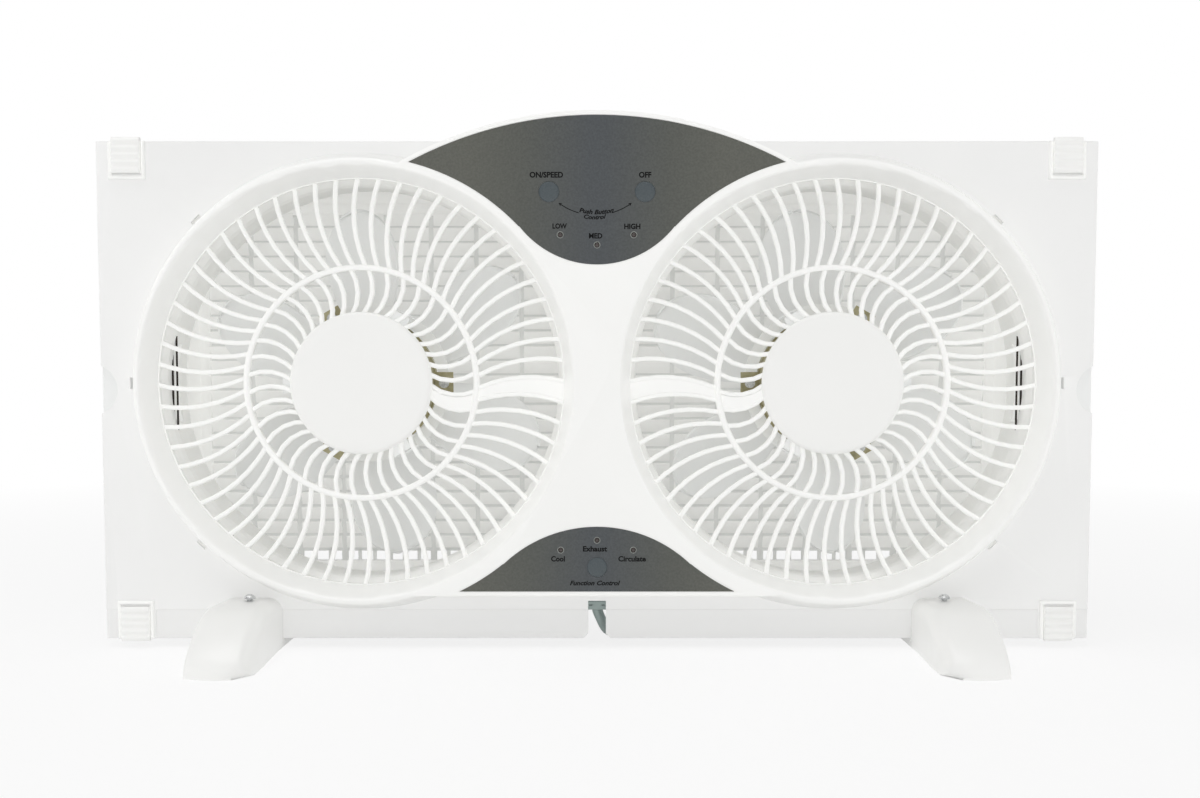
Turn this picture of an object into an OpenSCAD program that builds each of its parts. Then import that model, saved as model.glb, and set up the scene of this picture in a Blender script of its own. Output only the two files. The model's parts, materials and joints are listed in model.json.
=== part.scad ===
// Twin window fan on two screwed feet, with side extenders and a put-away cord.
// Front faces -Y, +Z is up, and the feet stand on z = 0. Lengths are in mm.

/* [Body] */
// Width with the extenders pushed in
body_w = 610; // [606:1:640]
// Height of the body's top edge above the floor
body_top = 311; // [309:1:320]
// Height of the skirt's lower edge above the floor
skirt_z = 5.5; // [4.5:0.5:8]
// Thickness of the front panel
skin_t = 2.4; // [1.8:0.1:3]
// Thickness of the housing walls
wall = 2.4; // [1.8:0.1:3]
// Depth of the window frame part, panel face to rear face
frame_d = 29.6; // [28:0.2:36]
// Inset of the rear box from the body's side edge
box_in = 19; // [13:0.5:20]
// Height of the rear box's underside
box_z0 = 24; // [20:0.5:25]
// Height of the rear box's top
box_z1 = 303; // [302:0.5:306]
// Distance from the panel face to the rear face
body_d = 97.4; // [94:0.2:110]
// Depth of the set-back step on the skirt
skirt_step = 0.6; // [0.3:0.1:1]
// Height of the step line above the floor
skirt_line = 23.6; // [18:0.2:24]

/* [Fans] */
// Distance of each fan axis from the body's side edge
fan_in = 160; // [158:0.5:162]
// Height of the fan axes
fan_z = 164; // [163:0.5:166]
// Greatest radius of the air opening
opening_max = 125; // [123:0.5:126]
// Least distance between the two air openings
opening_gap = 40; // [36:0.5:44]
// Step inwards from the air opening to the duct's neck
neck_step = 4; // [2:0.2:5]
// Gap between the blade tips and the duct's neck
tip_gap = 7; // [5:0.5:16]
// Widest chord of a blade
blade_w = 60; // [45:1:64]
// Chord of a blade at its root
blade_root_w = 34; // [24:1:36]
// Thickness of a blade
blade_t = 1.8; // [1.4:0.1:2.4]
// Number of blades on a fan
blade_count = 6; // [4:1:7]
// Radius of the impeller's hub
hub_r = 36; // [32:0.5:38]
// Wall of the impeller's hub
hub_wall = 2.2; // [1.6:0.1:3]
// Radius of the motor shaft
shaft_r = 4; // [3:0.25:5]

/* [Front grille] */
// Number of ribs outside the middle ring
outer_ribs = 60; // [40:1:64]
// Number of ribs inside the middle ring
inner_ribs = 40; // [24:1:44]
// Width of a rib
rib_w = 2.3; // [1.6:0.1:2.6]
// Depth of a rib
rib_d = 3.2; // [2.4:0.1:4]
// Mean radius of the middle ring
mid_r = 70.8; // [66:0.2:76]
// Width of the middle ring
mid_w = 3.7; // [2.4:0.1:5]
// Radius of the hub cap
cap_r = 43.8; // [42:0.2:45]
// Bulge of an outer rib off its chord
outer_bulge = 4.7; // [2:0.1:6]
// Bulge of an inner rib off its chord
inner_bulge = 4.1; // [2:0.1:5]

/* [Bezel] */
// Height of the bezel's crest over the panel face
bezel_rise = 16; // [14:0.5:18]
// Width of the bezel ring from the opening to its foot
ring_w = 14.8; // [13:0.2:15.4]
// Wall of the bezel
bezel_wall = 2.2; // [1.6:0.1:2.6]
// Radius of the control pod's arch
pod_r = 245; // [240:1:250]
// Height of the arch's top above the body's top edge
pod_rise = 15.5; // [12:0.5:18]
// Height of the bridge's lower edge
bridge_z = 34.5; // [33:0.5:36]
// Thickness of the printed overlays
overlay_t = 0.5; // [0.3:0.1:0.8]
// Width of the rim between the overlays and the bezel's edges
overlay_rim = 3; // [2:0.2:5]

/* [Controls] */
// Radius of a push button
button_r = 6.1; // [4:0.1:6.6]
// Travel of a push button
button_travel = 0.6; // [0.3:0.1:1]
// Half distance between the speed and off buttons
button_x = 28.7; // [22:0.1:30]
// Height of the speed and off buttons
button_z = 278.2; // [272:0.2:280]
// Height of the function button
function_z = 52.5; // [50:0.5:54]
// Radius of an indicator lamp
lamp_r = 1.5; // [1:0.1:2]
// Half distance between the outer lamps
lamp_x = 22; // [16:0.5:24]
// Height of the outer speed lamps
speed_lamp_z = 252.7; // [248:0.2:256]
// Height of the outer mode lamps
mode_lamp_z = 63; // [60:0.5:64]
// Offset of the middle lamp from the outer ones
lamp_step = 6; // [3:0.2:7]
// Radius of the infrared window
ir_r = 4; // [3:0.2:5]
// Thickness of the circuit boards
board_t = 1.6; // [1:0.2:2]

/* [Motors] */
// Radius of a motor case
motor_r = 41.5; // [40:0.1:42]
// Radius over a motor's ears
ear_r = 53; // [51:0.5:55]
// Width of an ear
ear_w = 14; // [10:0.5:16]
// Pitch circle radius of the ear screws
ear_screw_r = 47.3; // [46.8:0.1:47.8]
// Distance of the ear plane behind the panel face
ear_d = 30; // [28:0.5:32]

/* [Extenders] */
// Gap between the duct's neck and the board's inner edge
board_gap = 0.9; // [0.6:0.1:2]
// Thickness of an extender board
ext_t = 4; // [3:0.2:5]
// Width of the extender's edge post
post_w = 14; // [12:0.5:15]
// Travel of an extender
ext_travel = 28; // [20:1:30]
// Distance of the board's front face behind the panel face
ext_y = 18; // [16:0.1:19.5]

/* [Locks] */
// Width of a slide lock
lock_w = 17.3; // [14:0.1:18]
// Height of a slide lock
lock_h = 21.5; // [18:0.5:24]
// Distance of a lock's middle from the body's side edge
lock_in = 19; // [18:0.5:21]
// Travel of a slide lock
lock_travel = 4; // [2:0.5:4]
// Height of the raised frame round a lock
lock_frame = 1.6; // [1:0.1:2.4]

/* [Rear grilles] */
// Inset of the rear air opening's sides from the front opening's edge
louvre_in = 1; // [0:0.5:12]
// Height of the rear air opening's lower edge
louvre_z0 = 38; // [36:0.5:44]
// Height of the rear air opening's upper edge
louvre_z1 = 281; // [270:0.5:288]
// Number of louvres in a rear grille
louvres = 23; // [16:1:26]
// Number of upright bars in a rear grille
bars = 7; // [4:1:9]

/* [Feet] */
// Length of a foot
foot_len = 200; // [180:2:220]
// Reach of a foot in front of the panel
foot_toe = 85; // [75:1:95]
// Width of a foot at its heel
foot_w = 33; // [28:0.5:36]
// Width of a foot across its toe
toe_w = 37; // [33:0.5:40]
// Height of a foot's platform
foot_top = 31; // [30:0.5:34]
// Distance of each foot from the body's side edge
foot_in = 93; // [87:1:100]
// Radius of a foot screw's head
screw_head_r = 3.6; // [3:0.1:4.2]

/* [Fits] */
// Clearance between pieces that slide or drop in
fit = 0.3; // [0.2:0.05:0.4]
// Radial clearance of a turning shaft
run = 0.04; // [0.02:0.01:0.08]

/* [Hidden] */
round_fn = 96;
small_fn = 32;
eps = 0.01;

// Planes along Y
front_y = -foot_len / 2 + foot_toe;
skin_back = front_y + skin_t;
crest_y = front_y - bezel_rise;
frame_back = front_y + frame_d;
rear_y = front_y + body_d;
ear_y = front_y + ear_d;
half_w = body_w / 2;
louvre_d = 8;

// Places across the width
fan_x = half_w - fan_in;
opening_r = min(opening_max, fan_x - opening_gap / 2);
neck_r = opening_r - neck_step;
blade_tip_r = neck_r - tip_gap;
louvre_half_w = opening_r - louvre_in;
foot_x = half_w - foot_in;
box_half = half_w - box_in;
board_x = fan_x + neck_r + board_gap;

// Ring profile of the bezel
foot_r = opening_r + ring_w;
crest_out = opening_r + 8.9;
crest_in = opening_r + 5;
lip_y = front_y + 0.4;

// Colours
white = [0.93, 0.93, 0.91];
ivory = [0.86, 0.86, 0.82];
grey = [0.38, 0.39, 0.37];
steel = [0.62, 0.60, 0.46];
zinc = [0.72, 0.73, 0.74];
copper = [0.72, 0.42, 0.22];
green = [0.12, 0.38, 0.22];
black = [0.1, 0.1, 0.1];
cord_grey = [0.46, 0.47, 0.46];

// Extrudes an X-Z outline from y0 back to y1
module slab(y0, y1) {
    translate([0, y1, 0]) rotate([90, 0, 0]) linear_extrude(y1 - y0) children();
}

// Turns a radius-depth outline about the left fan's axis
module turned() {
    translate([-fan_x, 0, fan_z]) rotate([-90, 0, 0]) rotate_extrude($fn = round_fn) children();
}

// Draws a left-hand piece on the chosen side
module sided(side) {
    if (side < 0) children();
    if (side > 0) mirror([1, 0, 0]) children();
}

// A ring about the left fan's axis
module ring(r0, r1, y0, y1) {
    turned() translate([r0, y0]) square([r1 - r0, y1 - y0]);
}

// A rod along Y
module rod(x, z, r, y0, y1) {
    translate([x, y0, z]) rotate([-90, 0, 0]) cylinder(h = y1 - y0, r = r, $fn = small_fn);
}

// A box from one corner to the other
module block(a, b) {
    translate(a) cube(b - a);
}

// A box and its mirror image
module block_pair(a, b) {
    block(a, b);
    mirror([1, 0, 0]) block(a, b);
}

// ---- Front panel ----
notch_deep = 10;
notch_high = 29;
notch_z = 160;
notch_r = (notch_deep * notch_deep + notch_high * notch_high / 4) / (2 * notch_deep);
cord_notch_w = 11;
cord_notch_z = 29;
hole_r = opening_r + 5;
lock_x = half_w - lock_in;
lock_frame_w = 22.5;
lock_pad = 12;
stem_w = 10;
stem_t = 4;
flange_d = 12;
top_flange_x = lock_x - 16;
slot_h = 2;
slot_w = 7;
window_w = 50;
window_h = 16;

module skin_outline() {
    difference() {
        union() {
            translate([-half_w, skirt_z]) square([body_w, body_top - skirt_z]);
            intersection() {
                translate([0, pod_z]) circle(r = pod_r - fit, $fn = 360);
                translate([-pod_half, fan_z]) square([2 * pod_half, pod_r]);
            }
        }
        for (s = [-1, 1]) {
            translate([s * fan_x, fan_z]) circle(r = hole_r, $fn = round_fn);
            translate([s * (half_w - notch_deep + notch_r), notch_z]) circle(r = notch_r, $fn = round_fn);
            lock_slots(s);
            bezel_slots(s);
        }
        translate([-cord_notch_w / 2, skirt_z - 1]) square([cord_notch_w, cord_notch_z - skirt_z + 1]);
        for (s = [-1, 1]) translate([s * cord_notch_w / 2, skirt_z]) rotate(45) square(4, center = true);
        for (z = [function_z - window_h / 2, button_z - window_h / 2]) {
            translate([-window_w / 2, z]) square([window_w, window_h]);
        }
    }
}

// Slots that the lock stems slide in
module lock_slots(s) {
    for (z = [lock_mid(1), lock_mid(-1)]) {
        translate([s * lock_x - stem_w / 2 - fit, z - stem_t / 2 - fit - lock_travel])
            square([stem_w + 2 * fit, stem_t + 2 * fit + 2 * lock_travel]);
    }
}

// Pry slots beside the bezel ring
module bezel_slots(s) {
    for (a = [135, 180, 225]) {
        translate([s * fan_x, fan_z]) rotate(s < 0 ? a : 180 - a)
            translate([foot_r + 0.5, -slot_w / 2]) square([slot_h, slot_w]);
    }
}

// Middle height of the upper (up = 1) or lower (up = -1) locks at rest
function lock_mid(up) = up > 0 ? body_top + 2 - lock_h / 2 : skirt_z - 1.2 + lock_h / 2;

// Raised frame round a lock, open to the body's edge
module lock_surround(s, up) {
    edge = up > 0 ? body_top : skirt_z;
    inner = lock_mid(up) - up * (lock_h / 2 + 1.2);
    side = (lock_frame_w - lock_w) / 2 - fit;
    x0 = s * lock_x - lock_frame_w / 2;
    low = min(edge, inner - up * side);
    high = max(edge, inner - up * side);
    difference() {
        block([x0, front_y - lock_frame, low], [x0 + lock_frame_w, front_y + eps, high]);
        block([x0 + side, front_y - lock_frame - 1, min(edge + up, inner)],
            [x0 + lock_frame_w - side, front_y + 1, max(edge + up, inner)]);
    }
}

module front_panel() {
    color(white) {
        difference() {
            union() {
                slab(front_y, skin_back) skin_outline();
                block([-top_flange_x, front_y + eps, body_top - wall],
                    [top_flange_x, front_y + flange_d, body_top]);
                for (s = [-1, 1]) {
                    for (up = [-1, 1]) lock_surround(s, up);
                }
            }
            block([-half_w - 1, front_y - 3, skirt_z - 1],
                [-lock_x - lock_pad, front_y + skirt_step, skirt_line]);
            block([-lock_x + lock_pad, front_y - 3, skirt_z - 1],
                [lock_x - lock_pad, front_y + skirt_step, skirt_line]);
            block([lock_x + lock_pad, front_y - 3, skirt_z - 1],
                [half_w + 1, front_y + skirt_step, skirt_line]);
        }
    }
}

// ---- Front bezel ----
pod_z = body_top + pod_rise - pod_r;
pod_half = 122;
bridge_foot = pod_half - 12;
recess_y = crest_y + overlay_t + 0.1;
boss_r = 3.2;
pin_r = 1.2;

// Ring section, from the foot over the crest and down to the opening
module ring_section() {
    b = bezel_wall;
    polygon([[foot_r, front_y], [foot_r - 1.4, front_y - 4.5], [foot_r - 3.2, front_y - 10],
        [crest_out + 1.3, crest_y + 2.8], [crest_out + 0.6, crest_y + 1.4], [crest_out - 0.4, crest_y + 0.5],
        [crest_out - 1.7, crest_y], [crest_in + 1.4, crest_y + 0.1], [crest_in + 0.5, crest_y + 0.7],
        [crest_in - 0.2, crest_y + 1.9], [opening_r + 2.3, front_y - 7], [opening_r + 0.6, front_y - 1.4],
        [opening_r, lip_y], [opening_r + b, lip_y], [opening_r + 2.3 + b, front_y - 6.4],
        [crest_in - 0.2 + b, crest_y + b + 0.6], [crest_out - 0.9 - b / 2, crest_y + b + 0.2],
        [crest_out + 1.3 - b, crest_y + b + 2], [foot_r - 3.2 - b, front_y - 9.4],
        [foot_r - 1.4 - b, front_y - 4], [foot_r - b, front_y]]);
}

// Flat face of the bridge and the control pod
module bridge_outline(inset) {
    difference() {
        intersection() {
            translate([0, pod_z]) circle(r = pod_r - inset, $fn = 360);
            translate([-pod_half, bridge_z + inset]) square([2 * pod_half, pod_r + body_top]);
        }
        for (s = [-1, 1]) translate([s * fan_x, fan_z])
            circle(r = crest_in + 2 - inset, $fn = round_fn);
    }
}

module front_bezel() {
    color(white) {
        difference() {
            union() {
                for (s = [-1, 1]) sided(s) turned() ring_section();
                slab(crest_y + 0.8, crest_y + bezel_wall) bridge_outline(0);
                slab(crest_y, crest_y + 1) bridge_outline(0.8);
                pod_wall();
                block([-bridge_foot, crest_y + 0.8, bridge_z], [bridge_foot, front_y, bridge_z + bezel_wall]);
                for (p = board_posts()) {
                    rod(p[0], p[1], boss_r, crest_y + bezel_wall - eps, board_y - fit / 3);
                    rod(p[0], p[1], pin_r, board_y - 1, board_y + board_t + 1.5);
                }
            }
            slab(crest_y - 1, recess_y) overlay_outlines(fit);
            for (p = button_places()) rod(p[0], p[1], button_r + fit, crest_y - 1, crest_y + 4);
            for (p = lamp_places()) rod(p[0], p[1], lamp_r + fit / 2, crest_y - 1, crest_y + 4);
            rod(0, ir_z(), ir_r, crest_y - 1, crest_y + 4);
        }
    }
}

// Arched edge wall of the pod
module pod_wall() {
    slab(crest_y + 0.8, front_y) difference() {
        intersection() {
            translate([0, pod_z]) circle(r = pod_r, $fn = 360);
            translate([-pod_half + 6, fan_z]) square([2 * pod_half - 12, pod_r]);
        }
        translate([0, pod_z]) circle(r = pod_r - bezel_wall, $fn = 360);
    }
}

// ---- Overlays ----
// Each overlay's curve between the fans runs on smoothly from the circles that bound it over the rings
curve_gap = 0.06;
top_curve_r = 59;
top_edge_r = crest_out + 1.9;
top_rise = sqrt(pow(top_edge_r + top_curve_r + curve_gap, 2) - fan_x * fan_x);
top_join = 3 + top_rise * top_edge_r / (top_edge_r + top_curve_r);
low_curve_r = 82;
low_edge_r = foot_r + 0.7;
low_drop = sqrt(pow(low_edge_r + low_curve_r + curve_gap, 2) - fan_x * fan_x);
low_join = 3 + low_drop * low_edge_r / (low_edge_r + low_curve_r);
overlay_top_half = 117.2;
overlay_low_z = bridge_z + 3.2;

module overlay_outlines(m) {
    top_overlay_outline(m);
    bottom_overlay_outline(m);
}

module top_overlay_outline(m) {
    half = overlay_top_half + m;
    difference() {
        intersection() {
            translate([0, pod_z]) circle(r = pod_r - overlay_rim + m, $fn = 360);
            union() {
                translate([-half, fan_z + top_join]) square([2 * half, pod_r]);
                translate([0, fan_z + top_rise]) circle(r = top_curve_r + m, $fn = 180);
            }
            translate([-half, fan_z]) square([2 * half, pod_r]);
        }
        for (s = [-1, 1]) translate([s * fan_x, fan_z])
            circle(r = top_edge_r - m, $fn = round_fn);
    }
}

module bottom_overlay_outline(m) {
    difference() {
        intersection() {
            translate([-pod_half, overlay_low_z - m]) square([2 * pod_half, fan_z - overlay_low_z]);
            union() {
                translate([-pod_half, 0]) square([2 * pod_half, fan_z - low_join]);
                translate([0, fan_z - low_drop]) circle(r = low_curve_r + m, $fn = 180);
            }
        }
        for (s = [-1, 1]) translate([s * fan_x, fan_z]) circle(r = low_edge_r - m, $fn = round_fn);
    }
}

// Overlay sheet with its button and lamp holes
module overlay_sheet() {
    color(grey) difference() {
        slab(crest_y + 0.1, recess_y) children();
        for (p = button_places()) rod(p[0], p[1], button_r + fit / 2, crest_y - 1, recess_y + 1);
        for (p = lamp_places()) rod(p[0], p[1], lamp_r + fit / 3, crest_y - 1, recess_y + 1);
    }
}

module top_overlay() {
    overlay_sheet() top_overlay_outline(0);
}

module bottom_overlay() {
    overlay_sheet() bottom_overlay_outline(0);
}

// ---- Controls ----
board_y = crest_y + 7;
switch_d = 2.6;
stem_r = 1.6;

function button_places() = [[-button_x, button_z], [button_x, button_z], [0, function_z]];
function ir_z() = button_z - 3;
function speed_lamps() = [[-lamp_x, speed_lamp_z], [0, speed_lamp_z - lamp_step], [lamp_x, speed_lamp_z]];
function mode_lamps() = [[-lamp_x, mode_lamp_z], [0, mode_lamp_z + lamp_step], [lamp_x, mode_lamp_z]];
function lamp_places() = concat(speed_lamps(), mode_lamps());
function top_posts() = [[-16, button_z + 10], [16, button_z + 10], [-12, speed_lamp_z], [12, speed_lamp_z]];
function low_posts() = [[-34, function_z - 6], [34, function_z - 6]];
function board_posts() = concat(top_posts(), low_posts());

module button(i) {
    p = button_places()[i];
    color(grey) {
        rod(p[0], p[1], button_r, crest_y, crest_y + bezel_wall + 0.1);
        rod(p[0], p[1], button_r + 1, crest_y + bezel_wall + 0.05, crest_y + bezel_wall + 0.8);
        rod(p[0], p[1], stem_r, crest_y + bezel_wall, board_y - switch_d);
    }
}

// Three small switches, one behind each button
module tact_switches() {
    color(black) for (p = button_places()) {
        block([p[0] - 3, board_y - switch_d + button_travel + 0.1, p[1] - 3], [p[0] + 3, board_y, p[1] + 3]);
        rod(p[0], p[1], stem_r, board_y - switch_d + 0.05 + button_travel, board_y - 0.5);
    }
}

module indicator_lamps() {
    color([0.75, 0.1, 0.08]) for (p = lamp_places()) rod(p[0], p[1], lamp_r, crest_y + 0.2, board_y);
}

module ir_receiver() {
    color([0.16, 0.07, 0.12]) {
        rod(0, ir_z(), ir_r - fit, recess_y, crest_y + 4.4);
        block([-3.5, crest_y + 4, ir_z() - 3.5], [3.5, board_y, ir_z() + 3.5]);
    }
}

module board(outline, posts) {
    color(green) difference() {
        slab(board_y, board_y + board_t) polygon(outline);
        for (p = posts) rod(p[0], p[1], pin_r + 0.1, board_y - 1, board_y + board_t + 1);
    }
}

module control_board() {
    low = speed_lamp_z - lamp_step - 4;
    high = button_z + 14;
    board([[-24, low], [24, low], [34, low + 15.3], [42, low + 25.3], [42, high], [-42, high],
        [-42, low + 25.3], [-34, low + 15.3]], top_posts());
}

module mode_board() {
    low = function_z - 10;
    high = mode_lamp_z + lamp_step + 3;
    board([[-40, low], [40, low], [40, low + 12], [27, high], [-27, high], [-40, low + 12]], low_posts());
}

// Motor run capacitors, stuck behind the panel above the bridge
cap_box = [36, 16, 25];
cap_gap = 6;
cap_top_in = 14;
potting = 1.2;
potting_in = 4;
module run_capacitors() {
    z = body_top - cap_top_in - cap_box[2];
    back = skin_back + cap_box[1];
    color([0.85, 0.84, 0.78]) {
        block_pair([cap_gap, skin_back, z], [cap_gap + cap_box[0], back, z + cap_box[2]]);
        block_pair([cap_gap + potting_in, back - eps, z + potting_in],
            [cap_gap + cap_box[0] - potting_in, back + potting, z + cap_box[2] - potting_in]);
    }
}

// ---- Front grille ----
grille_y = front_y + 0.6;
ring_y = grille_y - 1;
grille_back = grille_y + rib_d;
channel_t = 2;
channel_gap = 0.15;
channel_in = 1.2;
flange_r = hole_r + 5;
hub_ring_in = 37;
hub_lift = 0.3;
cap_t = 2;
cap_back = grille_y - hub_lift;
outer_start = -2.4;
outer_end = 0.4;
inner_start = -1.2;
inner_end = -4.1;

function on_ring(r, a) = [r * cos(a), r * sin(a)];
// Ends of the first rib of each ring of ribs
outer_from = on_ring(mid_r + mid_w / 4, outer_start);
outer_to = on_ring(opening_r + 1, outer_end);
inner_from = on_ring(cap_r - 2, inner_start);
inner_to = on_ring(mid_r - mid_w / 4, inner_end);
function chord(a, b) = norm(b - a);
function arc_radius(c, bulge) = (c * c / 4 + bulge * bulge) / (2 * bulge);
function angle_of(v) = atan2(v[1], v[0]);

// One curved rib from a to b, bulging to the left of its way by side = 1, to the right by side = -1
module arc_rib(a, b, bulge, side) {
    c = chord(a, b);
    r = arc_radius(c, bulge);
    across = [a[1] - b[1], b[0] - a[0]] / c;
    mid = (a + b) / 2 + across * side * (bulge - r);
    from = angle_of((side > 0 ? b : a) - mid);
    to = angle_of((side > 0 ? a : b) - mid);
    translate([mid[0], mid[1], 0]) rotate([0, 0, from])
        rotate_extrude(angle = (to - from + 720) % 360, $fn = round_fn)
        translate([r - rib_w / 2, 0]) square([rib_w, rib_d]);
}

// Both rings of ribs, drawn flat and stood up behind the opening
module ribs() {
    translate([-fan_x, grille_back, fan_z]) rotate([90, 0, 0]) {
        for (i = [0 : outer_ribs - 1]) rotate([0, 0, i * 360 / outer_ribs])
            arc_rib(outer_from, outer_to, outer_bulge, 1);
        for (i = [0 : inner_ribs - 1]) rotate([0, 0, i * 360 / inner_ribs])
            arc_rib(inner_from, inner_to, inner_bulge, -1);
    }
}

// A point on a rib's arc, moved off its middle line by off, at share t of its way
function rib_point(a, b, bulge, side, off, t) = let (
    c = chord(a, b),
    r = arc_radius(c, bulge),
    mid = (a + b) / 2 + [a[1] - b[1], b[0] - a[0]] / c * side * (bulge - r),
    from = angle_of(a - mid),
    sweep = side > 0 ? -((from - angle_of(b - mid) + 720) % 360) : (angle_of(b - mid) - from + 720) % 360)
    mid + on_ring(r + off, from + sweep * t);
function turn(p, a) = [p[0] * cos(a) - p[1] * sin(a), p[0] * sin(a) + p[1] * cos(a)];

// Outline of the gap between rib 0 and the rib before it, kept off both by gap and run past the ribs' ends
module rib_gap(a, b, bulge, side, step, gap) {
    steps = 12;
    past = 0.04;
    off = rib_w / 2 + gap;
    shares = [for (i = [0 : steps]) i * (1 + 2 * past) / steps - past];
    first = [for (i = [0 : steps]) turn(rib_point(a, b, bulge, side, side * off, shares[i]), -step)];
    second = [for (i = [steps : -1 : 0]) rib_point(a, b, bulge, side, -side * off, shares[i])];
    polygon(concat(first, second));
}

// The two rib gaps that carry the wires, from the hub to the opening
module channel_outline(gap, r0, r1) {
    difference() {
        intersection() {
            union() {
                rib_gap(outer_from, outer_to, outer_bulge, 1, 360 / outer_ribs, gap);
                rib_gap(inner_from, inner_to, inner_bulge, -1, 360 / inner_ribs, gap);
            }
            circle(r = r1, $fn = round_fn);
        }
        circle(r = r0, $fn = round_fn);
    }
}

// Cover that closes the wire channel, flush between the ribs and clipped behind them
module wire_cover() {
    start = cap_r - 0.8 + channel_gap;
    end = opening_r - 0.6 - channel_gap;
    half = mid_w / 2 + channel_gap;
    color(white) translate([-fan_x, 0, fan_z]) {
        slab(grille_y + 0.3, grille_back + 0.5) {
            channel_outline(channel_gap, start, mid_r - half);
            channel_outline(channel_gap, mid_r + half, end);
        }
        slab(grille_back, grille_back + channel_t) channel_outline(-rib_w / 2, start, end - channel_in);
    }
}

module grille() {
    color(white) {
        ribs();
        ring(mid_r - mid_w / 2, mid_r + mid_w / 2, ring_y, grille_back);
        ring(hub_ring_in, cap_r - 0.8, cap_back, grille_back);
        turned() polygon([[opening_r - 0.6, grille_y], [hole_r - fit, grille_y], [hole_r - fit, skin_back],
            [flange_r, skin_back], [flange_r, shroud_y0], [opening_r - 0.6, shroud_y0]]);
    }
}

// Round cap over the grille's hub, clipped inside its ring
module hub_cap() {
    c = cap_back - cap_t;
    lip = hub_ring_in - fit;
    color(white) turned() polygon([[0, c], [cap_r - 4, c], [cap_r - 2.2, c + 0.15], [cap_r - 1, c + 0.6],
        [cap_r - 0.25, c + 1.3], [cap_r, cap_back], [lip, cap_back], [lip, cap_back + 2.8],
        [lip - 1.7, cap_back + 2.8], [lip - 1.7, cap_back], [0, cap_back]]);
}

// ---- Motor mount and motor ----
mount_in = motor_r + 2.2;
mount_out = ear_screw_r + 3.2;
mount_t = 2.8;
leg_w = 12;
ear_t = 2.2;
inset = 0.2;
motor_y0 = front_y + 9;
motor_y1 = ear_y + ear_t + 15;
shell = 1.2;
stator_r = motor_r - shell - 0.4;
rotor_r = 20;
bearing_r = 8;
bearing_d = 4.5;
nose = 4;
ear_hole_r = 2.1;
stack_y0 = motor_y0 + 8;
stack_y1 = stack_y0 + 20;

// Places a child at angle a about the left fan's axis, with +X pointing outwards
module around(a) {
    translate([-fan_x, 0, fan_z]) rotate([0, -a, 0]) children();
}

module motor_mount() {
    back = ear_y + ear_t;
    color(white) difference() {
        union() {
            ring(mount_in, mount_out, back, back + mount_t);
            ring(hub_ring_in + 1, cap_r - 1, grille_back, grille_back + 2);
            for (a = [60, 180, 300]) around(a) {
                block([hub_ring_in + 2, grille_back + inset, -leg_w / 2],
                    [mount_out - 1.2, grille_back + 2 - inset, leg_w / 2]);
                block([mount_in + 0.8, grille_back + inset, -leg_w / 2],
                    [mount_out - 1.2, back + mount_t - inset, leg_w / 2]);
            }
            for (a = [0, 120, 240]) around(a) rod(ear_screw_r, 0, 4.6, back, back + 7);
        }
        for (a = [0, 120, 240]) around(a) rod(ear_screw_r, 0, 1.5, back - 1, back + 6);
    }
}

module motor_front() {
    color(steel) difference() {
        union() {
            turned() polygon([[0, motor_y0 - nose], [bearing_r + shell, motor_y0 - nose],
                [bearing_r + shell + 1, motor_y0], [motor_r - 3, motor_y0], [motor_r - 0.8, motor_y0 + 0.8],
                [motor_r, motor_y0 + 3], [motor_r, ear_y + inset], [motor_r + 1, ear_y + inset],
                [motor_r + 1, ear_y + ear_t - inset], [motor_r - shell, ear_y + ear_t - inset],
                [motor_r - shell, motor_y0 + shell + 1],
                [motor_r - 3, motor_y0 + shell], [bearing_r, motor_y0 + shell],
                [bearing_r, motor_y0 - nose + shell], [0, motor_y0 - nose + shell]]);
            for (a = [0, 120, 240]) around(a)
                block([motor_r - 0.3, ear_y, -ear_w / 2], [ear_r, ear_y + ear_t, ear_w / 2]);
        }
        for (a = [0, 120, 240]) around(a) rod(ear_screw_r, 0, ear_hole_r, ear_y - 1, ear_y + ear_t + 1);
    }
}

module motor_rear() {
    y = ear_y + ear_t;
    color(steel) turned() polygon([[motor_r + 1, y + 0.05], [motor_r + 1, y + 1.6], [motor_r, y + 1.6],
        [motor_r, motor_y1 - 2], [motor_r - 2, motor_y1], [bearing_r + shell, motor_y1],
        [bearing_r + shell, motor_y1 + nose], [shaft_r + 1, motor_y1 + nose],
        [shaft_r + 1, motor_y1 + nose - shell], [bearing_r, motor_y1 + nose - shell],
        [bearing_r, motor_y1 - shell], [motor_r - shell, motor_y1 - shell], [motor_r - shell, y + 0.05]]);
}

module stator() {
    color(zinc) ring(rotor_r + 0.5, motor_r - shell, stack_y0, stack_y1);
}

module windings() {
    color(copper) {
        ring(rotor_r + 3, stator_r - 6, stack_y0 - 5, stack_y0);
        ring(rotor_r + 3, stator_r - 6, stack_y1, stack_y1 + 4);
    }
}

module rotor() {
    color(zinc) ring(shaft_r, rotor_r, stack_y0, stack_y1);
}

module shaft() {
    rod_start = motor_y0 - nose + shell + 0.3;
    color(zinc) rod(-fan_x, fan_z, shaft_r, rod_start, shaft_end);
}

module motor_bearings() {
    front = motor_y0 - nose + shell;
    back = motor_y1 + nose - shell - bearing_d;
    color(zinc) for (s = [-1, 1]) sided(s) {
        ring(shaft_r + run, bearing_r, front, front + bearing_d);
        ring(shaft_r + run, bearing_r, back, back + bearing_d);
    }
}

module motor_screws() {
    color(zinc) for (s = [-1, 1]) sided(s) for (a = [0, 120, 240]) around(a) {
        rod(ear_screw_r, 0, 1.5, ear_y - eps, ear_y + ear_t + 6);
        rod(ear_screw_r, 0, 3.2, ear_y - 2, ear_y);
    }
}

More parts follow.
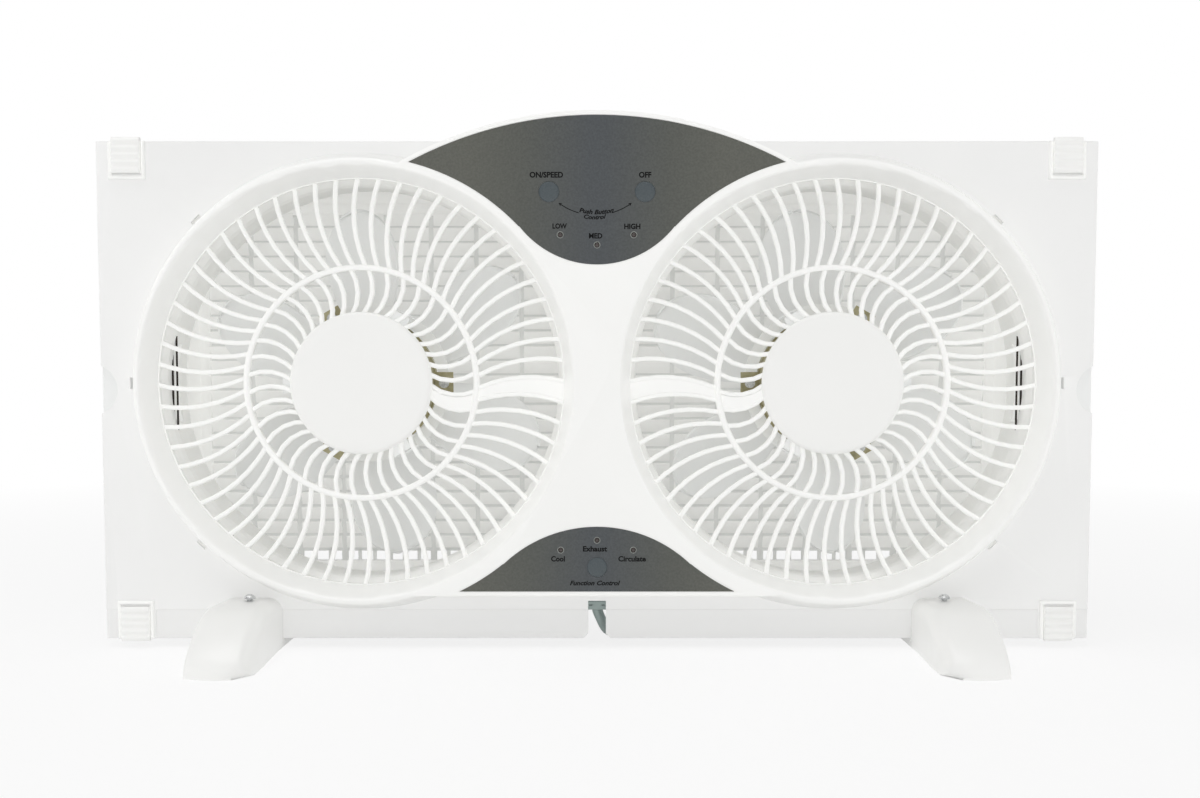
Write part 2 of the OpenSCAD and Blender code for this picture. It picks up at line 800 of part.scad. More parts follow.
// ---- Impeller ----
hub_front = motor_y1 + 1.5;
blade_y = front_y + 60;
hub_back = blade_y + 13;
nut_gap = 5.4;
nut_d = rear_y - louvre_d - nut_gap - hub_back;
nut_r = 11;
shaft_end = hub_back + nut_d - 2;
blade_rows = 9;
blade_cols = 6;
root_r = hub_r - 1;
root_pitch = 36;
tip_pitch = 24;
camber = 3.5;
blade_phase = 37.5;

function blend(a, b, t) = a + (b - a) * t;
// Chord over its widest value, from the root to the rounded tip
function blade_chord(u) = u < 0.6 ? blend(blade_root_w, blade_w, sin(150 * u))
    : blade_w * sqrt(max(0.002, 1 - pow((u - 0.6) / 0.4, 2)));
// A point of the blade at radius share u and chord place v, lifted by t
function blade_point(u, v, t) = let (
    r = blend(root_r, blade_tip_r, u),
    s = v * blade_chord(u) / 2,
    pitch = blend(root_pitch, tip_pitch, u),
    a = s * cos(pitch) / r * 180 / PI,
    y = blade_y + s * sin(pitch) + camber * (1 - v * v) + t)
    [r * cos(a), y, r * sin(a)];
function blade_u(i) = sin(90 * i / blade_rows);
function blade_grid(t) = [for (i = [0 : blade_rows]) for (j = [0 : blade_cols])
    blade_point(blade_u(i), 2 * j / blade_cols - 1, t)];

module blade() {
    n = blade_cols + 1;
    m = (blade_rows + 1) * n;
    points = concat(blade_grid(-blade_t / 2), blade_grid(blade_t / 2));
    skins = [for (i = [0 : blade_rows - 1]) for (j = [0 : blade_cols - 1]) let (k = i * n + j)
        each [[k, k + n + 1, k + n], [k, k + 1, k + n + 1],
            [m + k, m + k + n, m + k + n + 1], [m + k, m + k + n + 1, m + k + 1]]];
    sides = [for (i = [0 : blade_rows - 1]) let (k = i * n, e = i * n + n - 1)
        each [[k, m + k + n, m + k], [k, k + n, m + k + n], [e, m + e + n, e + n], [e, m + e, m + e + n]]];
    ends = [for (j = [0 : blade_cols - 1]) let (k = j, e = blade_rows * n + j)
        each [[k, m + k + 1, k + 1], [k, m + k, m + k + 1], [e, m + e + 1, m + e], [e, e + 1, m + e + 1]]];
    polyhedron(points = points, faces = concat(skins, sides, ends), convexity = 4);
}

module impeller() {
    color(ivory) {
        turned() polygon([[hub_r, hub_front], [hub_r, hub_back - 4], [hub_r - 4, hub_back],
            [shaft_r, hub_back],
            [shaft_r, motor_y1 + nose + 1], [shaft_r + 5, motor_y1 + nose + 1],
            [shaft_r + 5, hub_back - hub_wall], [hub_r - 4.6, hub_back - hub_wall],
            [hub_r - hub_wall, hub_back - 5], [hub_r - hub_wall, hub_front]]);
        for (i = [0 : blade_count - 1]) around(blade_phase + i * 360 / blade_count) blade();
    }
}

// Moulded nut that holds the impeller on its shaft
module spinner() {
    color(ivory) difference() {
        translate([-fan_x, hub_back, fan_z]) rotate([-90, 0, 0])
            cylinder(h = nut_d, r = nut_r, $fn = round_fn);
        rod(-fan_x, fan_z, shaft_r, hub_back - 1, shaft_end);
        for (a = [0 : 45 : 315]) around(a) rod(nut_r + 1.4, 0, 2.4, hub_back - 1, hub_back + nut_d + 1);
    }
}

// ---- Shroud ----
shroud_t = 2;
slot_gap = 4.8;
slot_in = 3;
slot_half = 44;
shroud_flange_r = flange_r + 2.2;
shroud_y0 = skin_back + 2;
shroud_y1 = front_y + 49;
shroud_r0 = opening_r - 0.6;
shroud_r1 = neck_r + 3;
neck_y = shroud_y0 + 8.6;
board_y0 = front_y + ext_y;

module shroud() {
    t = shroud_t;
    color(white) difference() {
        turned() polygon([[shroud_r0, shroud_y0], [shroud_flange_r, shroud_y0],
            [shroud_flange_r, shroud_y0 + t], [shroud_r0 + 1.6, shroud_y0 + t],
            [neck_r + t, neck_y + 1], [neck_r + t + 0.6, neck_y + 18], [shroud_r1 + t, shroud_y1],
            [shroud_r1, shroud_y1], [neck_r + 0.6, neck_y + 18], [neck_r, neck_y],
            [neck_r + 0.9, neck_y - 4]]);
        block([-fan_x - shroud_r1 - 8, board_y0 - slot_gap, fan_z - slot_half],
            [-board_x + slot_in, board_y0 + ext_t + slot_gap, fan_z + slot_half]);
    }
}

// ---- Rear housing ----
gland_half = 9.5;
gland_y1 = skin_back + 10;

module rear_housing() {
    z0 = box_z0;
    z1 = body_top;
    color(white) difference() {
        union() {
            difference() {
                block([-half_w + fit, skin_back, z0], [half_w - fit, frame_back, z1]);
                block([-half_w - 1, skin_back - 1, z0 + wall], [half_w + 1, frame_back - wall, z1 - wall]);
            }
            block([-box_half, frame_back - wall, box_z0], [box_half, rear_y, box_z1]);
        }
        block([-box_half + wall, skin_back - 1, box_z0 + wall],
            [box_half - wall, rear_y - wall, box_z1 - wall]);
        block([-top_flange_x - fit, skin_back - 1, z1 - wall - 1],
            [top_flange_x + fit, front_y + flange_d + fit / 2, z1 + 1]);
        for (s = [-1, 1]) {
            block([s * lock_x - 10, skin_back - 1, z1 - wall - 1], [s * lock_x + 10, skin_back + 5, z1 + 1]);
            slab(rear_y - wall - 1, rear_y + 1) rear_opening(s);
        }
        for (p = screw_places()) rod(p[0], p[1], screw_r + 0.1, rear_y - wall - 1, rear_y + 1);
        block([-gland_half - fit / 3, skin_back - 1, z0 - 1],
            [gland_half + fit / 3, gland_y1 + fit / 3, z0 + wall + 1]);
    }
}

module rear_opening(s) {
    translate([s * fan_x - louvre_half_w, louvre_z0]) square([2 * louvre_half_w, louvre_z1 - louvre_z0]);
}

// ---- Rear grille ----
louvre_t = 1.8;
bar_t = 2.6;
flange_w = 5;
grille_fit = 0.2;

module rear_grille() {
    x0 = -fan_x - louvre_half_w;
    x1 = -fan_x + louvre_half_w;
    pitch = (louvre_z1 - louvre_z0) / (louvres + 1);
    bar_pitch = 2 * louvre_half_w / (bars + 1);
    inside = rear_y - wall;
    g = grille_fit;
    color(white) {
        difference() {
            block([x0 + g, inside - 2, louvre_z0 + g], [x1 - g, rear_y, louvre_z1 - g]);
            block([x0 + g + 2, inside - 3, louvre_z0 + g + 2], [x1 - g - 2, rear_y + 1, louvre_z1 - g - 2]);
        }
        difference() {
            block([x0 - flange_w, inside - 2, louvre_z0 - flange_w],
                [x1 + flange_w, inside, louvre_z1 + flange_w]);
            block([x0 + g + 1, inside - 3, louvre_z0 + g + 1], [x1 - g - 1, inside + 1, louvre_z1 - g - 1]);
        }
        for (i = [1 : louvres]) {
            z = louvre_z0 + i * pitch;
            block([x0 + g + 1, rear_y - louvre_d, z - louvre_t / 2],
                [x1 - g - 1, rear_y - 0.4, z + louvre_t / 2]);
        }
        for (i = [1 : bars]) {
            x = x0 + i * bar_pitch;
            block([x - bar_t / 2, rear_y - louvre_d + 1, louvre_z0 + g + 1],
                [x + bar_t / 2, rear_y - 1.2, louvre_z1 - g - 1]);
        }
    }
}

// ---- Extender ----
arm_t = 9;
arm_low_t = 4.4;
post_front = skin_back + fit;
post_back = frame_back - wall - fit;
post_wall = 2.4;
lock_clear = 40;

module extender() {
    z0 = box_z0 + wall + fit;
    z1 = body_top - wall - fit;
    x0 = -half_w;
    color(ivory) {
        block([x0, post_front, z0 + 20], [x0 + post_wall, post_back, z1 - 22]);
        block([x0, board_y0 - 3, z0], [x0 + post_wall, post_back, z1]);
        block([x0, post_front, z0 + lock_clear], [x0 + post_w, post_front + post_wall, z1 - lock_clear]);
        block([x0, post_back - post_wall, z0], [x0 + post_w, post_back, z1]);
        block([x0, board_y0, z0], [-board_x, board_y0 + ext_t, z1]);
        block([x0, board_y0, z1 - arm_t], [-fan_x - 45, board_y0 + ext_t, z1]);
        block([x0, board_y0, z0], [-fan_x - 90, board_y0 + ext_t, z0 + arm_low_t]);
    }
}

// ---- Slide lock ----
lock_t = 3;
lock_ribs = 5;
lock_rib_w = 1.6;
keeper_w = 15;
keeper_h = 14;
keeper_t = 1.6;

module slide_lock(s, up) {
    x = s * lock_x;
    z = lock_mid(up);
    f = front_y - fit / 2;
    pitch = lock_h / lock_ribs;
    color(white) {
        block([x - lock_w / 2, f - lock_t, z - lock_h / 2], [x + lock_w / 2, f, z + lock_h / 2]);
        for (i = [0 : lock_ribs - 1])
            translate([x - lock_w / 2, f - lock_t, z - lock_h / 2 + (i + 0.5) * pitch])
            rotate([0, 90, 0]) cylinder(h = lock_w, r = lock_rib_w / 2, $fn = small_fn);
        block([x - stem_w / 2, f - eps, z - stem_t / 2], [x + stem_w / 2, skin_back + fit, z + stem_t / 2]);
        block([x - keeper_w / 2, skin_back + fit / 2, z - keeper_h / 2],
            [x + keeper_w / 2, skin_back + fit / 2 + keeper_t, z + keeper_h / 2]);
    }
}

// ---- Feet ----
foot_back = foot_len / 2;
platform = 35;
slot_fit = 0.1;
under_z = box_z0 - 0.1;
screw_y = front_y - 13;
corner_r = 11;
top_corner_r = 6;

// Side view of a foot, as depth and height
module foot_side() {
    polygon([[-foot_back, 0], [-foot_back, 4], [-foot_back + 2, 7.5], [-foot_back + 7, 12.5],
        [-foot_back + 15, 18], [-foot_back + 25, 23.4], [-foot_back + 35, 27.6], [-foot_back + 43, 30],
        [front_y - platform, foot_top], [front_y - fit / 2, foot_top], [front_y - fit / 2, under_z],
        [foot_back - 55, under_z], [foot_back - 42, 21.5], [foot_back - 28, 16.5], [foot_back - 14, 10.5],
        [foot_back - 3, 5.5], [foot_back, 3.5], [foot_back, 0]]);
}

// Plan view of a foot, as a quarter of its outline mirrored over its length
module foot_plan() {
    h = toe_w / 2;
    w = foot_w / 2;
    polygon([[-h + 5, -foot_back + 5], [-h + 1, -foot_back + 11], [-h, -foot_back + 17],
        [-h, -foot_back + 30],
        [-w, -foot_back + 70], [-w, foot_back - 22], [-w + 3, foot_back - 10], [-w + 8, foot_back - 2.5],
        [-w + 14, foot_back], [w - 14, foot_back], [w - 8, foot_back - 2.5], [w - 3, foot_back - 10],
        [w, foot_back - 22], [w, -foot_back + 70], [h, -foot_back + 30], [h, -foot_back + 17],
        [h - 1, -foot_back + 11], [h - 5, -foot_back + 5], [h - 10, -foot_back + 2],
        [5, -foot_back + 0.2], [0, -foot_back], [-5, -foot_back + 0.2], [-h + 10, -foot_back + 2]]);
}

// Front view of a foot with its rounded upper corners
module foot_front() {
    h = toe_w / 2 + 1;
    c = top_corner_r;
    translate([-h, -1]) square([2 * h, foot_top + 1 - c]);
    translate([-foot_w / 2 + c, 0]) square([foot_w - 2 * c, foot_top]);
    for (s = [-1, 1]) translate([s * (foot_w / 2 - c), foot_top - c]) circle(r = c, $fn = 64);
}

module foot(s) {
    color(white) difference() {
        translate([s * foot_x, 0, 0]) intersection() {
            translate([-toe_w, 0, 0]) rotate([90, 0, 90]) linear_extrude(2 * toe_w) foot_side();
            translate([0, 0, -1]) linear_extrude(foot_top + 2) foot_plan();
            translate([0, foot_len, 0]) rotate([90, 0, 0]) linear_extrude(2 * foot_len) foot_front();
        }
        block([s * foot_x - toe_w, front_y + skirt_step - slot_fit, skirt_z],
            [s * foot_x + toe_w, skin_back + slot_fit, foot_top + 1]);
        block([s * foot_x - toe_w, front_y - fit / 2, skirt_line - fit],
            [s * foot_x + toe_w, skin_back, foot_top + 1]);
        translate([s * foot_x, screw_y, skirt_z]) cylinder(h = foot_top, r = 1.6, $fn = small_fn);
    }
}

module foot_screws() {
    color(zinc) for (s = [-1, 1]) translate([s * foot_x, screw_y, 0]) {
        translate([0, 0, skirt_z + 2]) cylinder(h = foot_top - skirt_z, r = 1.6, $fn = small_fn);
        translate([0, 0, foot_top + 1.8]) cylinder(h = 1.4, r = screw_head_r, $fn = small_fn);
        translate([0, 0, foot_top + 3.2])
            cylinder(h = 1.3, r1 = screw_head_r, r2 = screw_head_r * 0.6, $fn = small_fn);
    }
}

// ---- Rear screws and their spacers ----
screw_r = 1.6;
screw_len = 14;
spacer_r = 3.2;
screw_in = 11.5;
low_screw_in = 5.8;
high_screw_x = fan_x + opening_r - 10;
low_screw_x = fan_x + opening_r - 45;

function screw_places() = [[0, box_z1 - screw_in], [0, box_z0 + screw_in], [0, fan_z],
    [-high_screw_x, box_z1 - screw_in], [high_screw_x, box_z1 - screw_in],
    [-low_screw_x, box_z0 + low_screw_in], [low_screw_x, box_z0 + low_screw_in]];

module case_screws() {
    color(zinc) for (p = screw_places()) {
        rod(p[0], p[1], screw_r * 2, rear_y, rear_y + 1.6);
        rod(p[0], p[1], screw_r, rear_y - wall - screw_len, rear_y + 0.1);
    }
}

// Tubes that hold the rear wall off the front panel
module case_spacers() {
    color(ivory) difference() {
        for (p = screw_places()) rod(p[0], p[1], spacer_r, skin_back, rear_y - wall);
        for (p = screw_places()) rod(p[0], p[1], screw_r + run, rear_y - wall - screw_len - 2, rear_y);
    }
}

// ---- Cord ----
gland_low = 22.9;
cord_w = 6;
cord_h = 3.6;

module cord_gland() {
    cy = skin_back + 0.2;
    color(cord_grey) difference() {
        union() {
            block([-gland_half, cy, gland_low], [gland_half, gland_y1, box_z0 + wall + 1]);
            block([-gland_half - 3, cy, box_z0 + wall], [gland_half + 3, gland_y1 + 2, box_z0 + wall + 4]);
        }
        block([-5.5, cy - 1, gland_low - 1], [-4, cy + 1, gland_low + 3]);
        block([4, cy - 1, gland_low - 1], [5.5, cy + 1, gland_low + 3]);
    }
}

front_panel();
front_bezel();
top_overlay();
bottom_overlay();
button(0);  // speed_button
button(1);  // off_button
button(2);  // function_button
tact_switches();
indicator_lamps();
ir_receiver();
control_board();
mode_board();
run_capacitors();
sided(-1) grille();  // left_grille
sided(1) grille();  // right_grille
sided(-1) wire_cover();  // left_wire_cover
sided(1) wire_cover();  // right_wire_cover
sided(-1) hub_cap();  // left_hub_cap
sided(1) hub_cap();  // right_hub_cap
sided(-1) motor_mount();  // left_motor_mount
sided(1) motor_mount();  // right_motor_mount
sided(-1) motor_front();  // left_motor_front
sided(1) motor_front();  // right_motor_front
sided(-1) motor_rear();  // left_motor_rear
sided(1) motor_rear();  // right_motor_rear
sided(-1) stator();  // left_stator
sided(1) stator();  // right_stator
sided(-1) windings();  // left_windings
sided(1) windings();  // right_windings
sided(-1) rotor();  // left_rotor
sided(1) rotor();  // right_rotor
sided(-1) shaft();  // left_shaft
sided(1) shaft();  // right_shaft
motor_bearings();
motor_screws();
sided(-1) impeller();  // left_impeller
translate([2 * fan_x, 0, 0]) impeller();  // right_impeller
sided(-1) spinner();  // left_spinner
sided(1) spinner();  // right_spinner
sided(-1) shroud();  // left_shroud
sided(1) shroud();  // right_shroud
rear_housing();
sided(-1) rear_grille();  // left_rear_grille
sided(1) rear_grille();  // right_rear_grille
sided(-1) extender();  // left_extender
sided(1) extender();  // right_extender
slide_lock(-1, 1);  // lock_top_left
slide_lock(1, 1);  // lock_top_right
slide_lock(-1, -1);  // lock_bottom_left
slide_lock(1, -1);  // lock_bottom_right
foot(-1);  // left_foot
foot(1);  // right_foot
foot_screws();
case_screws();
case_spacers();
cord_gland();

// ---- Cord lead, coil, tie and plug ----
cord_lift = 0.1;
lead_low = cord_h / 2 + cord_lift;
tie_t = 0.8;
coil_low = cord_h / 2 + tie_t + 0.25;
layer_h = cord_h + 0.7;
coil_x = 103;
coil_y = 160;
coil_r = 56;
turn_pitch = 6.8;
layer_turns = 2.5;
coil_turns = 5.25;
loop_rings = 24;
lead_sides = 8;
coil_sides = 6;
plug_neck = 9;
plug_len = 33;
blade_gap = 6.35;

// Route from the gland behind the skirt to the floor and back to the coil
lead_points = [[0.16, -7.94, 22.33], [1.16, -7.58, 19.39], [2.46, -6.68, 16.13], [3.87, -5.33, 13.08],
    [5.35, -3.55, 10.3], [6.89, -1.37, 7.84], [8.45, 1.15, 5.76], [10, 3.97, 4.1], [11.5, 7.04, 2.88],
    [12.93, 10.29, 2.15], [14.26, 13.65, 1.9], [18.63, 24.16, 1.9], [23.74, 34.87, 1.9],
    [29.16, 45.63, 1.9], [34.51, 56.34, 1.9], [39.37, 66.85, 1.9], [43.34, 77.05, 1.9],
    [46.02, 86.81, 1.9], [47, 96, 1.9], [47, 112, 2], [47, 124, 2.2], [47, 136, 2.5],
    [47, 148, 2.8], [47, 159.8, 2.85]];
// Route from the coil's last turn to the plug
tail_points = [[109, 217.7, 7.1], [118, 217.7, 6.5], [128, 217.9, 4.9], [138, 218.4, 3.1],
    [148, 219, 2], [158, 219.6, 1.9], [168, 220, 2.1], [178, 220.2, 3.6], [188, 220.3, 5.6],
    [198, 220.3, 6.9], [206, 220.3, 7.2]];

function unit(v) = v / norm(v);
// Way of the route at point i
function way(p, i) = unit(p[min(i + 1, len(p) - 1)] - p[max(i - 1, 0)]);
// Flat oval round c with n corners
function section(c, side, up, n) = let (
    first = n == 6 ? 0 : 0.5,
    wide = n == 6 ? 1 : cos(180 / n),
    high = n == 6 ? sin(60) : cos(180 / n))
    [for (k = [0 : n - 1]) let (a = (k + first) * 360 / n)
        c + side * cord_w / 2 * cos(a) / wide + up * cord_h / 2 * sin(a) / high];
// Sections along a route; flat gives how far the cord's broad side lies down, from 0 to 1
function route_sections(p, flat, n) = [for (i = [0 : len(p) - 1]) let (
    w = way(p, i), lie = flat(i), side = unit(cross(w, [0, 1 - lie, lie])))
    each section(p[i], side, cross(side, w), n)];

module tube(points, n) {
    rings = len(points) / n;
    walls = [for (i = [0 : rings - 2]) for (k = [0 : n - 1]) let (a = i * n + k, b = i * n + (k + 1) % n)
        each [[a, b + n, a + n], [a, b, b + n]]];
    last = (rings - 1) * n;
    caps = [for (k = [1 : n - 2]) each [[0, k + 1, k], [last, last + k, last + k + 1]]];
    polyhedron(points = points, faces = concat(walls, caps), convexity = 10);
}

module power_cord() {
    lie = function(i) min(1, max(0, (i - 2) / 5));
    color(cord_grey) tube(route_sections(lead_points, lie, lead_sides), lead_sides);
}

function smooth(t) = t <= 0 ? 0 : t >= 1 ? 1 : t * t * (3 - 2 * t);
// Centre of the wound cord after t turns: in along the lower layer, out along the upper one
function coil_centre(t) = let (
    r = coil_r - turn_pitch * (layer_turns - abs(t - layer_turns)),
    a = 180 - 360 * t,
    z = coil_low + layer_h * smooth((t - layer_turns) * 3 + 0.5))
    [coil_x + r * cos(a), coil_y + r * sin(a), z];
function coil_route() = concat(
    [for (i = [0 : loop_rings * coil_turns]) coil_centre(i / loop_rings)], tail_points);
// Least distance between the points of turns that lie beside or over each other
function coil_gap(s) = let (rings = len(s) / coil_sides) min([
    for (i = [0 : 2 : rings - 15]) for (j = [i + 12 : rings - 1])
        each [for (k = [0 : coil_sides - 1]) for (m = [0 : coil_sides - 1])
            norm(s[i * coil_sides + k] - s[j * coil_sides + m])]]);

module cord_coil() {
    sections = route_sections(coil_route(), function(i) 1, coil_sides);
    echo(coil_gap = coil_gap(sections));
    color(cord_grey) tube(sections, coil_sides);
}

module coil_tie() {
    inner = coil_r - turn_pitch * (layer_turns - 0.25) - cord_w / 2 - 0.4;
    outer = coil_r - turn_pitch * 0.25 + cord_w / 2 + 0.4;
    low = coil_low - cord_h / 2 - 0.2;
    high = coil_low + layer_h + cord_h / 2 + 0.2;
    color(black) difference() {
        block([coil_x - 4, coil_y - outer - tie_t, low - tie_t],
            [coil_x + 4, coil_y - inner + tie_t, high + tie_t]);
        block([coil_x - 5, coil_y - outer, low], [coil_x + 5, coil_y - inner, high]);
    }
}

module plug() {
    p = tail_points[len(tail_points) - 1];
    color(cord_grey) {
        translate([p[0] + 0.1, p[1], p[2]]) rotate([0, 90, 0])
            cylinder(h = plug_neck, r1 = 4, r2 = 5.5, $fn = small_fn);
        block([p[0] + plug_neck, p[1] - 12, 0.1], [p[0] + plug_len, p[1] + 12, 2 * p[2] - 0.1]);
    }
    color(zinc) for (s = [-1, 1])
        block([p[0] + plug_len - eps, p[1] + s * blade_gap - 0.75, p[2] - 3.15],
            [p[0] + plug_len + 16, p[1] + s * blade_gap + 0.75, p[2] + 3.15]);
}

power_cord();
cord_coil();
coil_tie();
plug();
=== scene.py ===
import json
import math
import bpy
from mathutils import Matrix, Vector


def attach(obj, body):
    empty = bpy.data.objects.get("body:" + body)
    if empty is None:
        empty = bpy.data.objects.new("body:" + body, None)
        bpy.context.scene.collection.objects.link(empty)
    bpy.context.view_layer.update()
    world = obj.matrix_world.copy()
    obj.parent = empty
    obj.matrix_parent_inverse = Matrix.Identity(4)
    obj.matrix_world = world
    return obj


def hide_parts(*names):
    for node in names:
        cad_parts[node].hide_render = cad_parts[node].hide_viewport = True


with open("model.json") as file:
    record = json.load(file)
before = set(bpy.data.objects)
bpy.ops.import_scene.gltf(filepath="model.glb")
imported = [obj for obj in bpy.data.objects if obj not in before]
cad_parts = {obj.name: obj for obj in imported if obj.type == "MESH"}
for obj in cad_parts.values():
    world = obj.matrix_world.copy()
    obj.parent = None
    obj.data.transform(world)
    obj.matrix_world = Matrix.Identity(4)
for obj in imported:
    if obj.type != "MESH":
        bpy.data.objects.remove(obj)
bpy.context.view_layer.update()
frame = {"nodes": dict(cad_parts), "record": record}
nodes = frame["nodes"]
MM = 0.001

# The fans' centres and the plane of the bezel's crest, in mm, as in the part's source
FAN_X, FAN_Z = 145, 164
CREST_Y = -31
SIDES = (("left", -1), ("right", 1))

# -------------------- camera
# The lens, tilt and shift come from the photo's vanishing point and its width of 1200 pixels
camera = bpy.data.objects.new("photo_camera", bpy.data.cameras.new("photo_camera"))
bpy.context.scene.collection.objects.link(camera)
camera.location = (0, -0.765, 0.168)
camera.rotation_euler = (math.radians(90 - 3.3), 0, 0)
camera.data.sensor_width = 36
camera.data.lens = 36.54
camera.data.shift_x = 0.0025
camera.data.shift_y = 0.04
camera.data.clip_start, camera.data.clip_end = 0.01, 50
bpy.context.scene.camera = camera
bpy.context.scene.view_settings.view_transform = "Standard"


# -------------------- material tools
def linear(hex_colour):
    """An sRGB hex colour as linear RGBA."""
    channels = [int(hex_colour[i:i + 2], 16) / 255 for i in (1, 3, 5)]
    return [c / 12.92 if c <= 0.04045 else ((c + 0.055) / 1.055) ** 2.4 for c in channels] + [1.0]


def add(tree, kind, links=(), stops=(), **settings):
    """Adds a node: settings name its properties or, with a capital, its inputs; links are (input, node, output);
    stops are a colour ramp's (position, hex colour)."""
    node = tree.nodes.new(kind)
    for name, value in settings.items():
        if name[0].islower():
            setattr(node, name, value)
        else:
            node.inputs[name.replace("_", " ")].default_value = value
    for _ in stops[2:]:
        node.color_ramp.elements.new(0.5)
    for k, (position, colour) in enumerate(stops):
        node.color_ramp.elements[k].position = position
        node.color_ramp.elements[k].color = linear(colour)
    for target, source, output in links:
        tree.links.new(source.outputs[output], node.inputs[target])
    return node


def new_material(name):
    """An empty material, its node tree, and the object's own coordinates for its patterns to read."""
    made = bpy.data.materials.new(name)
    made.use_nodes = True
    made.node_tree.nodes.clear()
    return made, made.node_tree, add(made.node_tree, "ShaderNodeTexCoord")


def surfaced(made, base, roughness, links, **sockets):
    """Ends a material in its shader, with its constant values on the shader's own sockets."""
    shader = add(made.node_tree, "ShaderNodeBsdfPrincipled", links, Base_Color=linear(base), Roughness=roughness,
                 **sockets)
    add(made.node_tree, "ShaderNodeOutputMaterial", [("Surface", shader, "BSDF")])
    return made


def moulded_plastic(name, colour, shade, roughness, grain_mm, grain_depth_mm, ior=1.54, cloud_mm=90, **sockets):
    """Injection-moulded plastic: slow clouds of tone from flow and handling, and the tool's grain in its skin."""
    made, tree, place = new_material(name)
    cloud = add(tree, "ShaderNodeTexNoise", [("Vector", place, "Object")], Scale=1 / (cloud_mm * MM), Detail=3)
    patch = add(tree, "ShaderNodeTexNoise", [("Vector", place, "Object")], Scale=5 / (cloud_mm * MM), Detail=3)
    grain = add(tree, "ShaderNodeTexNoise", [("Vector", place, "Object")], Scale=1 / (grain_mm * MM), Detail=1)
    tone = add(tree, "ShaderNodeValToRGB", [("Fac", cloud, "Fac")], [(0.25, shade), (0.75, colour)])
    wear = add(tree, "ShaderNodeMapRange", [("Value", patch, "Fac")], From_Min=0.3, From_Max=0.7,
               To_Min=roughness - 0.02, To_Max=roughness + 0.02)
    relief = add(tree, "ShaderNodeBump", [("Height", grain, "Fac")], Strength=1, Distance=grain_depth_mm * MM)
    return surfaced(made, colour, roughness, [("Base Color", tone, "Color"), ("Roughness", wear, "Result"),
                                              ("Normal", relief, "Normal")], IOR=ior, **sockets)


def plated_metal(name, stops, roughness, blotch_mm, grain_mm, grain_depth_mm, stretch=(1, 1, 1), metallic=1.0):
    """Bare or plated metal: blotches of its plating and fine scratches or grain."""
    made, tree, place = new_material(name)
    drawn = add(tree, "ShaderNodeMapping", [("Vector", place, "Object")], Scale=stretch)
    blotch = add(tree, "ShaderNodeTexNoise", [("Vector", place, "Object")], Scale=1 / (blotch_mm * MM), Detail=4,
                 Roughness=0.6)
    grain = add(tree, "ShaderNodeTexNoise", [("Vector", drawn, "Vector")], Scale=1 / (grain_mm * MM), Detail=2)
    tone = add(tree, "ShaderNodeValToRGB", [("Fac", blotch, "Fac")], stops)
    wear = add(tree, "ShaderNodeMapRange", [("Value", grain, "Fac")], From_Min=0.3, From_Max=0.7,
               To_Min=roughness - 0.08, To_Max=roughness + 0.1)
    relief = add(tree, "ShaderNodeBump", [("Height", grain, "Fac")], Strength=1, Distance=grain_depth_mm * MM)
    return surfaced(made, stops[0][1], roughness, [("Base Color", tone, "Color"), ("Roughness", wear, "Result"),
                                                   ("Normal", relief, "Normal")], Metallic=metallic)


def banded_metal(name, dark, light, roughness, band_mm, axis):
    """Stacked sheet or wound wire: fine bands along one axis."""
    made, tree, place = new_material(name)
    bands = add(tree, "ShaderNodeTexWave", [("Vector", place, "Object")], Scale=1 / (band_mm * MM * math.pi),
                bands_direction=axis, Distortion=0.6)
    tone = add(tree, "ShaderNodeValToRGB", [("Fac", bands, "Fac")], [(0.1, dark), (0.55, light)])
    relief = add(tree, "ShaderNodeBump", [("Height", bands, "Fac")], Strength=1, Distance=0.08 * MM)
    return surfaced(made, light, roughness, [("Base Color", tone, "Color"), ("Normal", relief, "Normal")], Metallic=1)


# -------------------- materials
# Satin moulded ABS of the panel: soft sheen, a fine even tool grain drawn at 1.2 mm so that it shows
panel_abs = moulded_plastic("satin_moulded_ABS", "#EEEEED", "#EBEBEA", 0.36, 1.2, 0.012)
# Glossy moulded ABS of the bezel and pocket rims: clear highlights over a faint orange peel, and a tone whiter than
# the same ABS below as painted light on the bezel's sloped rings and the rims
bezel_abs = moulded_plastic("glossy_moulded_ABS_painted_lighter", "#F7F7F5", "#F5F5F3", 0.31, 3.0, 0.01, cloud_mm=120)
# The same ABS a tone lower in the feet, locks and caps; on the feet the lower tone is painted shade
gloss_abs = moulded_plastic("glossy_moulded_ABS", "#F1F1EF", "#EFEFED", 0.31, 3.0, 0.01, cloud_mm=120)
# Semi-gloss moulded ABS of the ribs: thin bright lines with a soft sheen
rib_abs = moulded_plastic("semi_gloss_moulded_ABS", "#F9F9F7", "#F7F7F5", 0.31, 2.0, 0.008, cloud_mm=70)
# Moulded ABS of the lattice behind the louvres: matt, and a tone greyer as painted shade in the joints between the
# louvres
shaded_lattice_abs = moulded_plastic("shade_grey_moulded_ABS", "#E3E4E2", "#DDDEDC", 0.55, 1.0, 0.03)
# Spark-textured ABS of the housing, shrouds and louvres: duller, with a visible 1 mm grain, and a tone whiter than
# the panel's ABS as painted light against the shade inside the fan
housing_abs = moulded_plastic("textured_moulded_ABS", "#FAFAF8", "#F8F8F6", 0.5, 1.0, 0.03)
# Natural polypropylene of the blades, motor mounts and extenders: waxy, a little greyer and softer than the ABS
blade_pp = moulded_plastic("natural_moulded_polypropylene", "#EBECEB", "#E8E9E8", 0.42, 1.6, 0.01, ior=1.49)
# Red-tinted cast epoxy of the lamps: small, glossy and dark while off
lamp_epoxy = moulded_plastic("tinted_cast_epoxy", "#4C4543", "#3D3634", 0.22, 1.0, 0.004, cloud_mm=3)
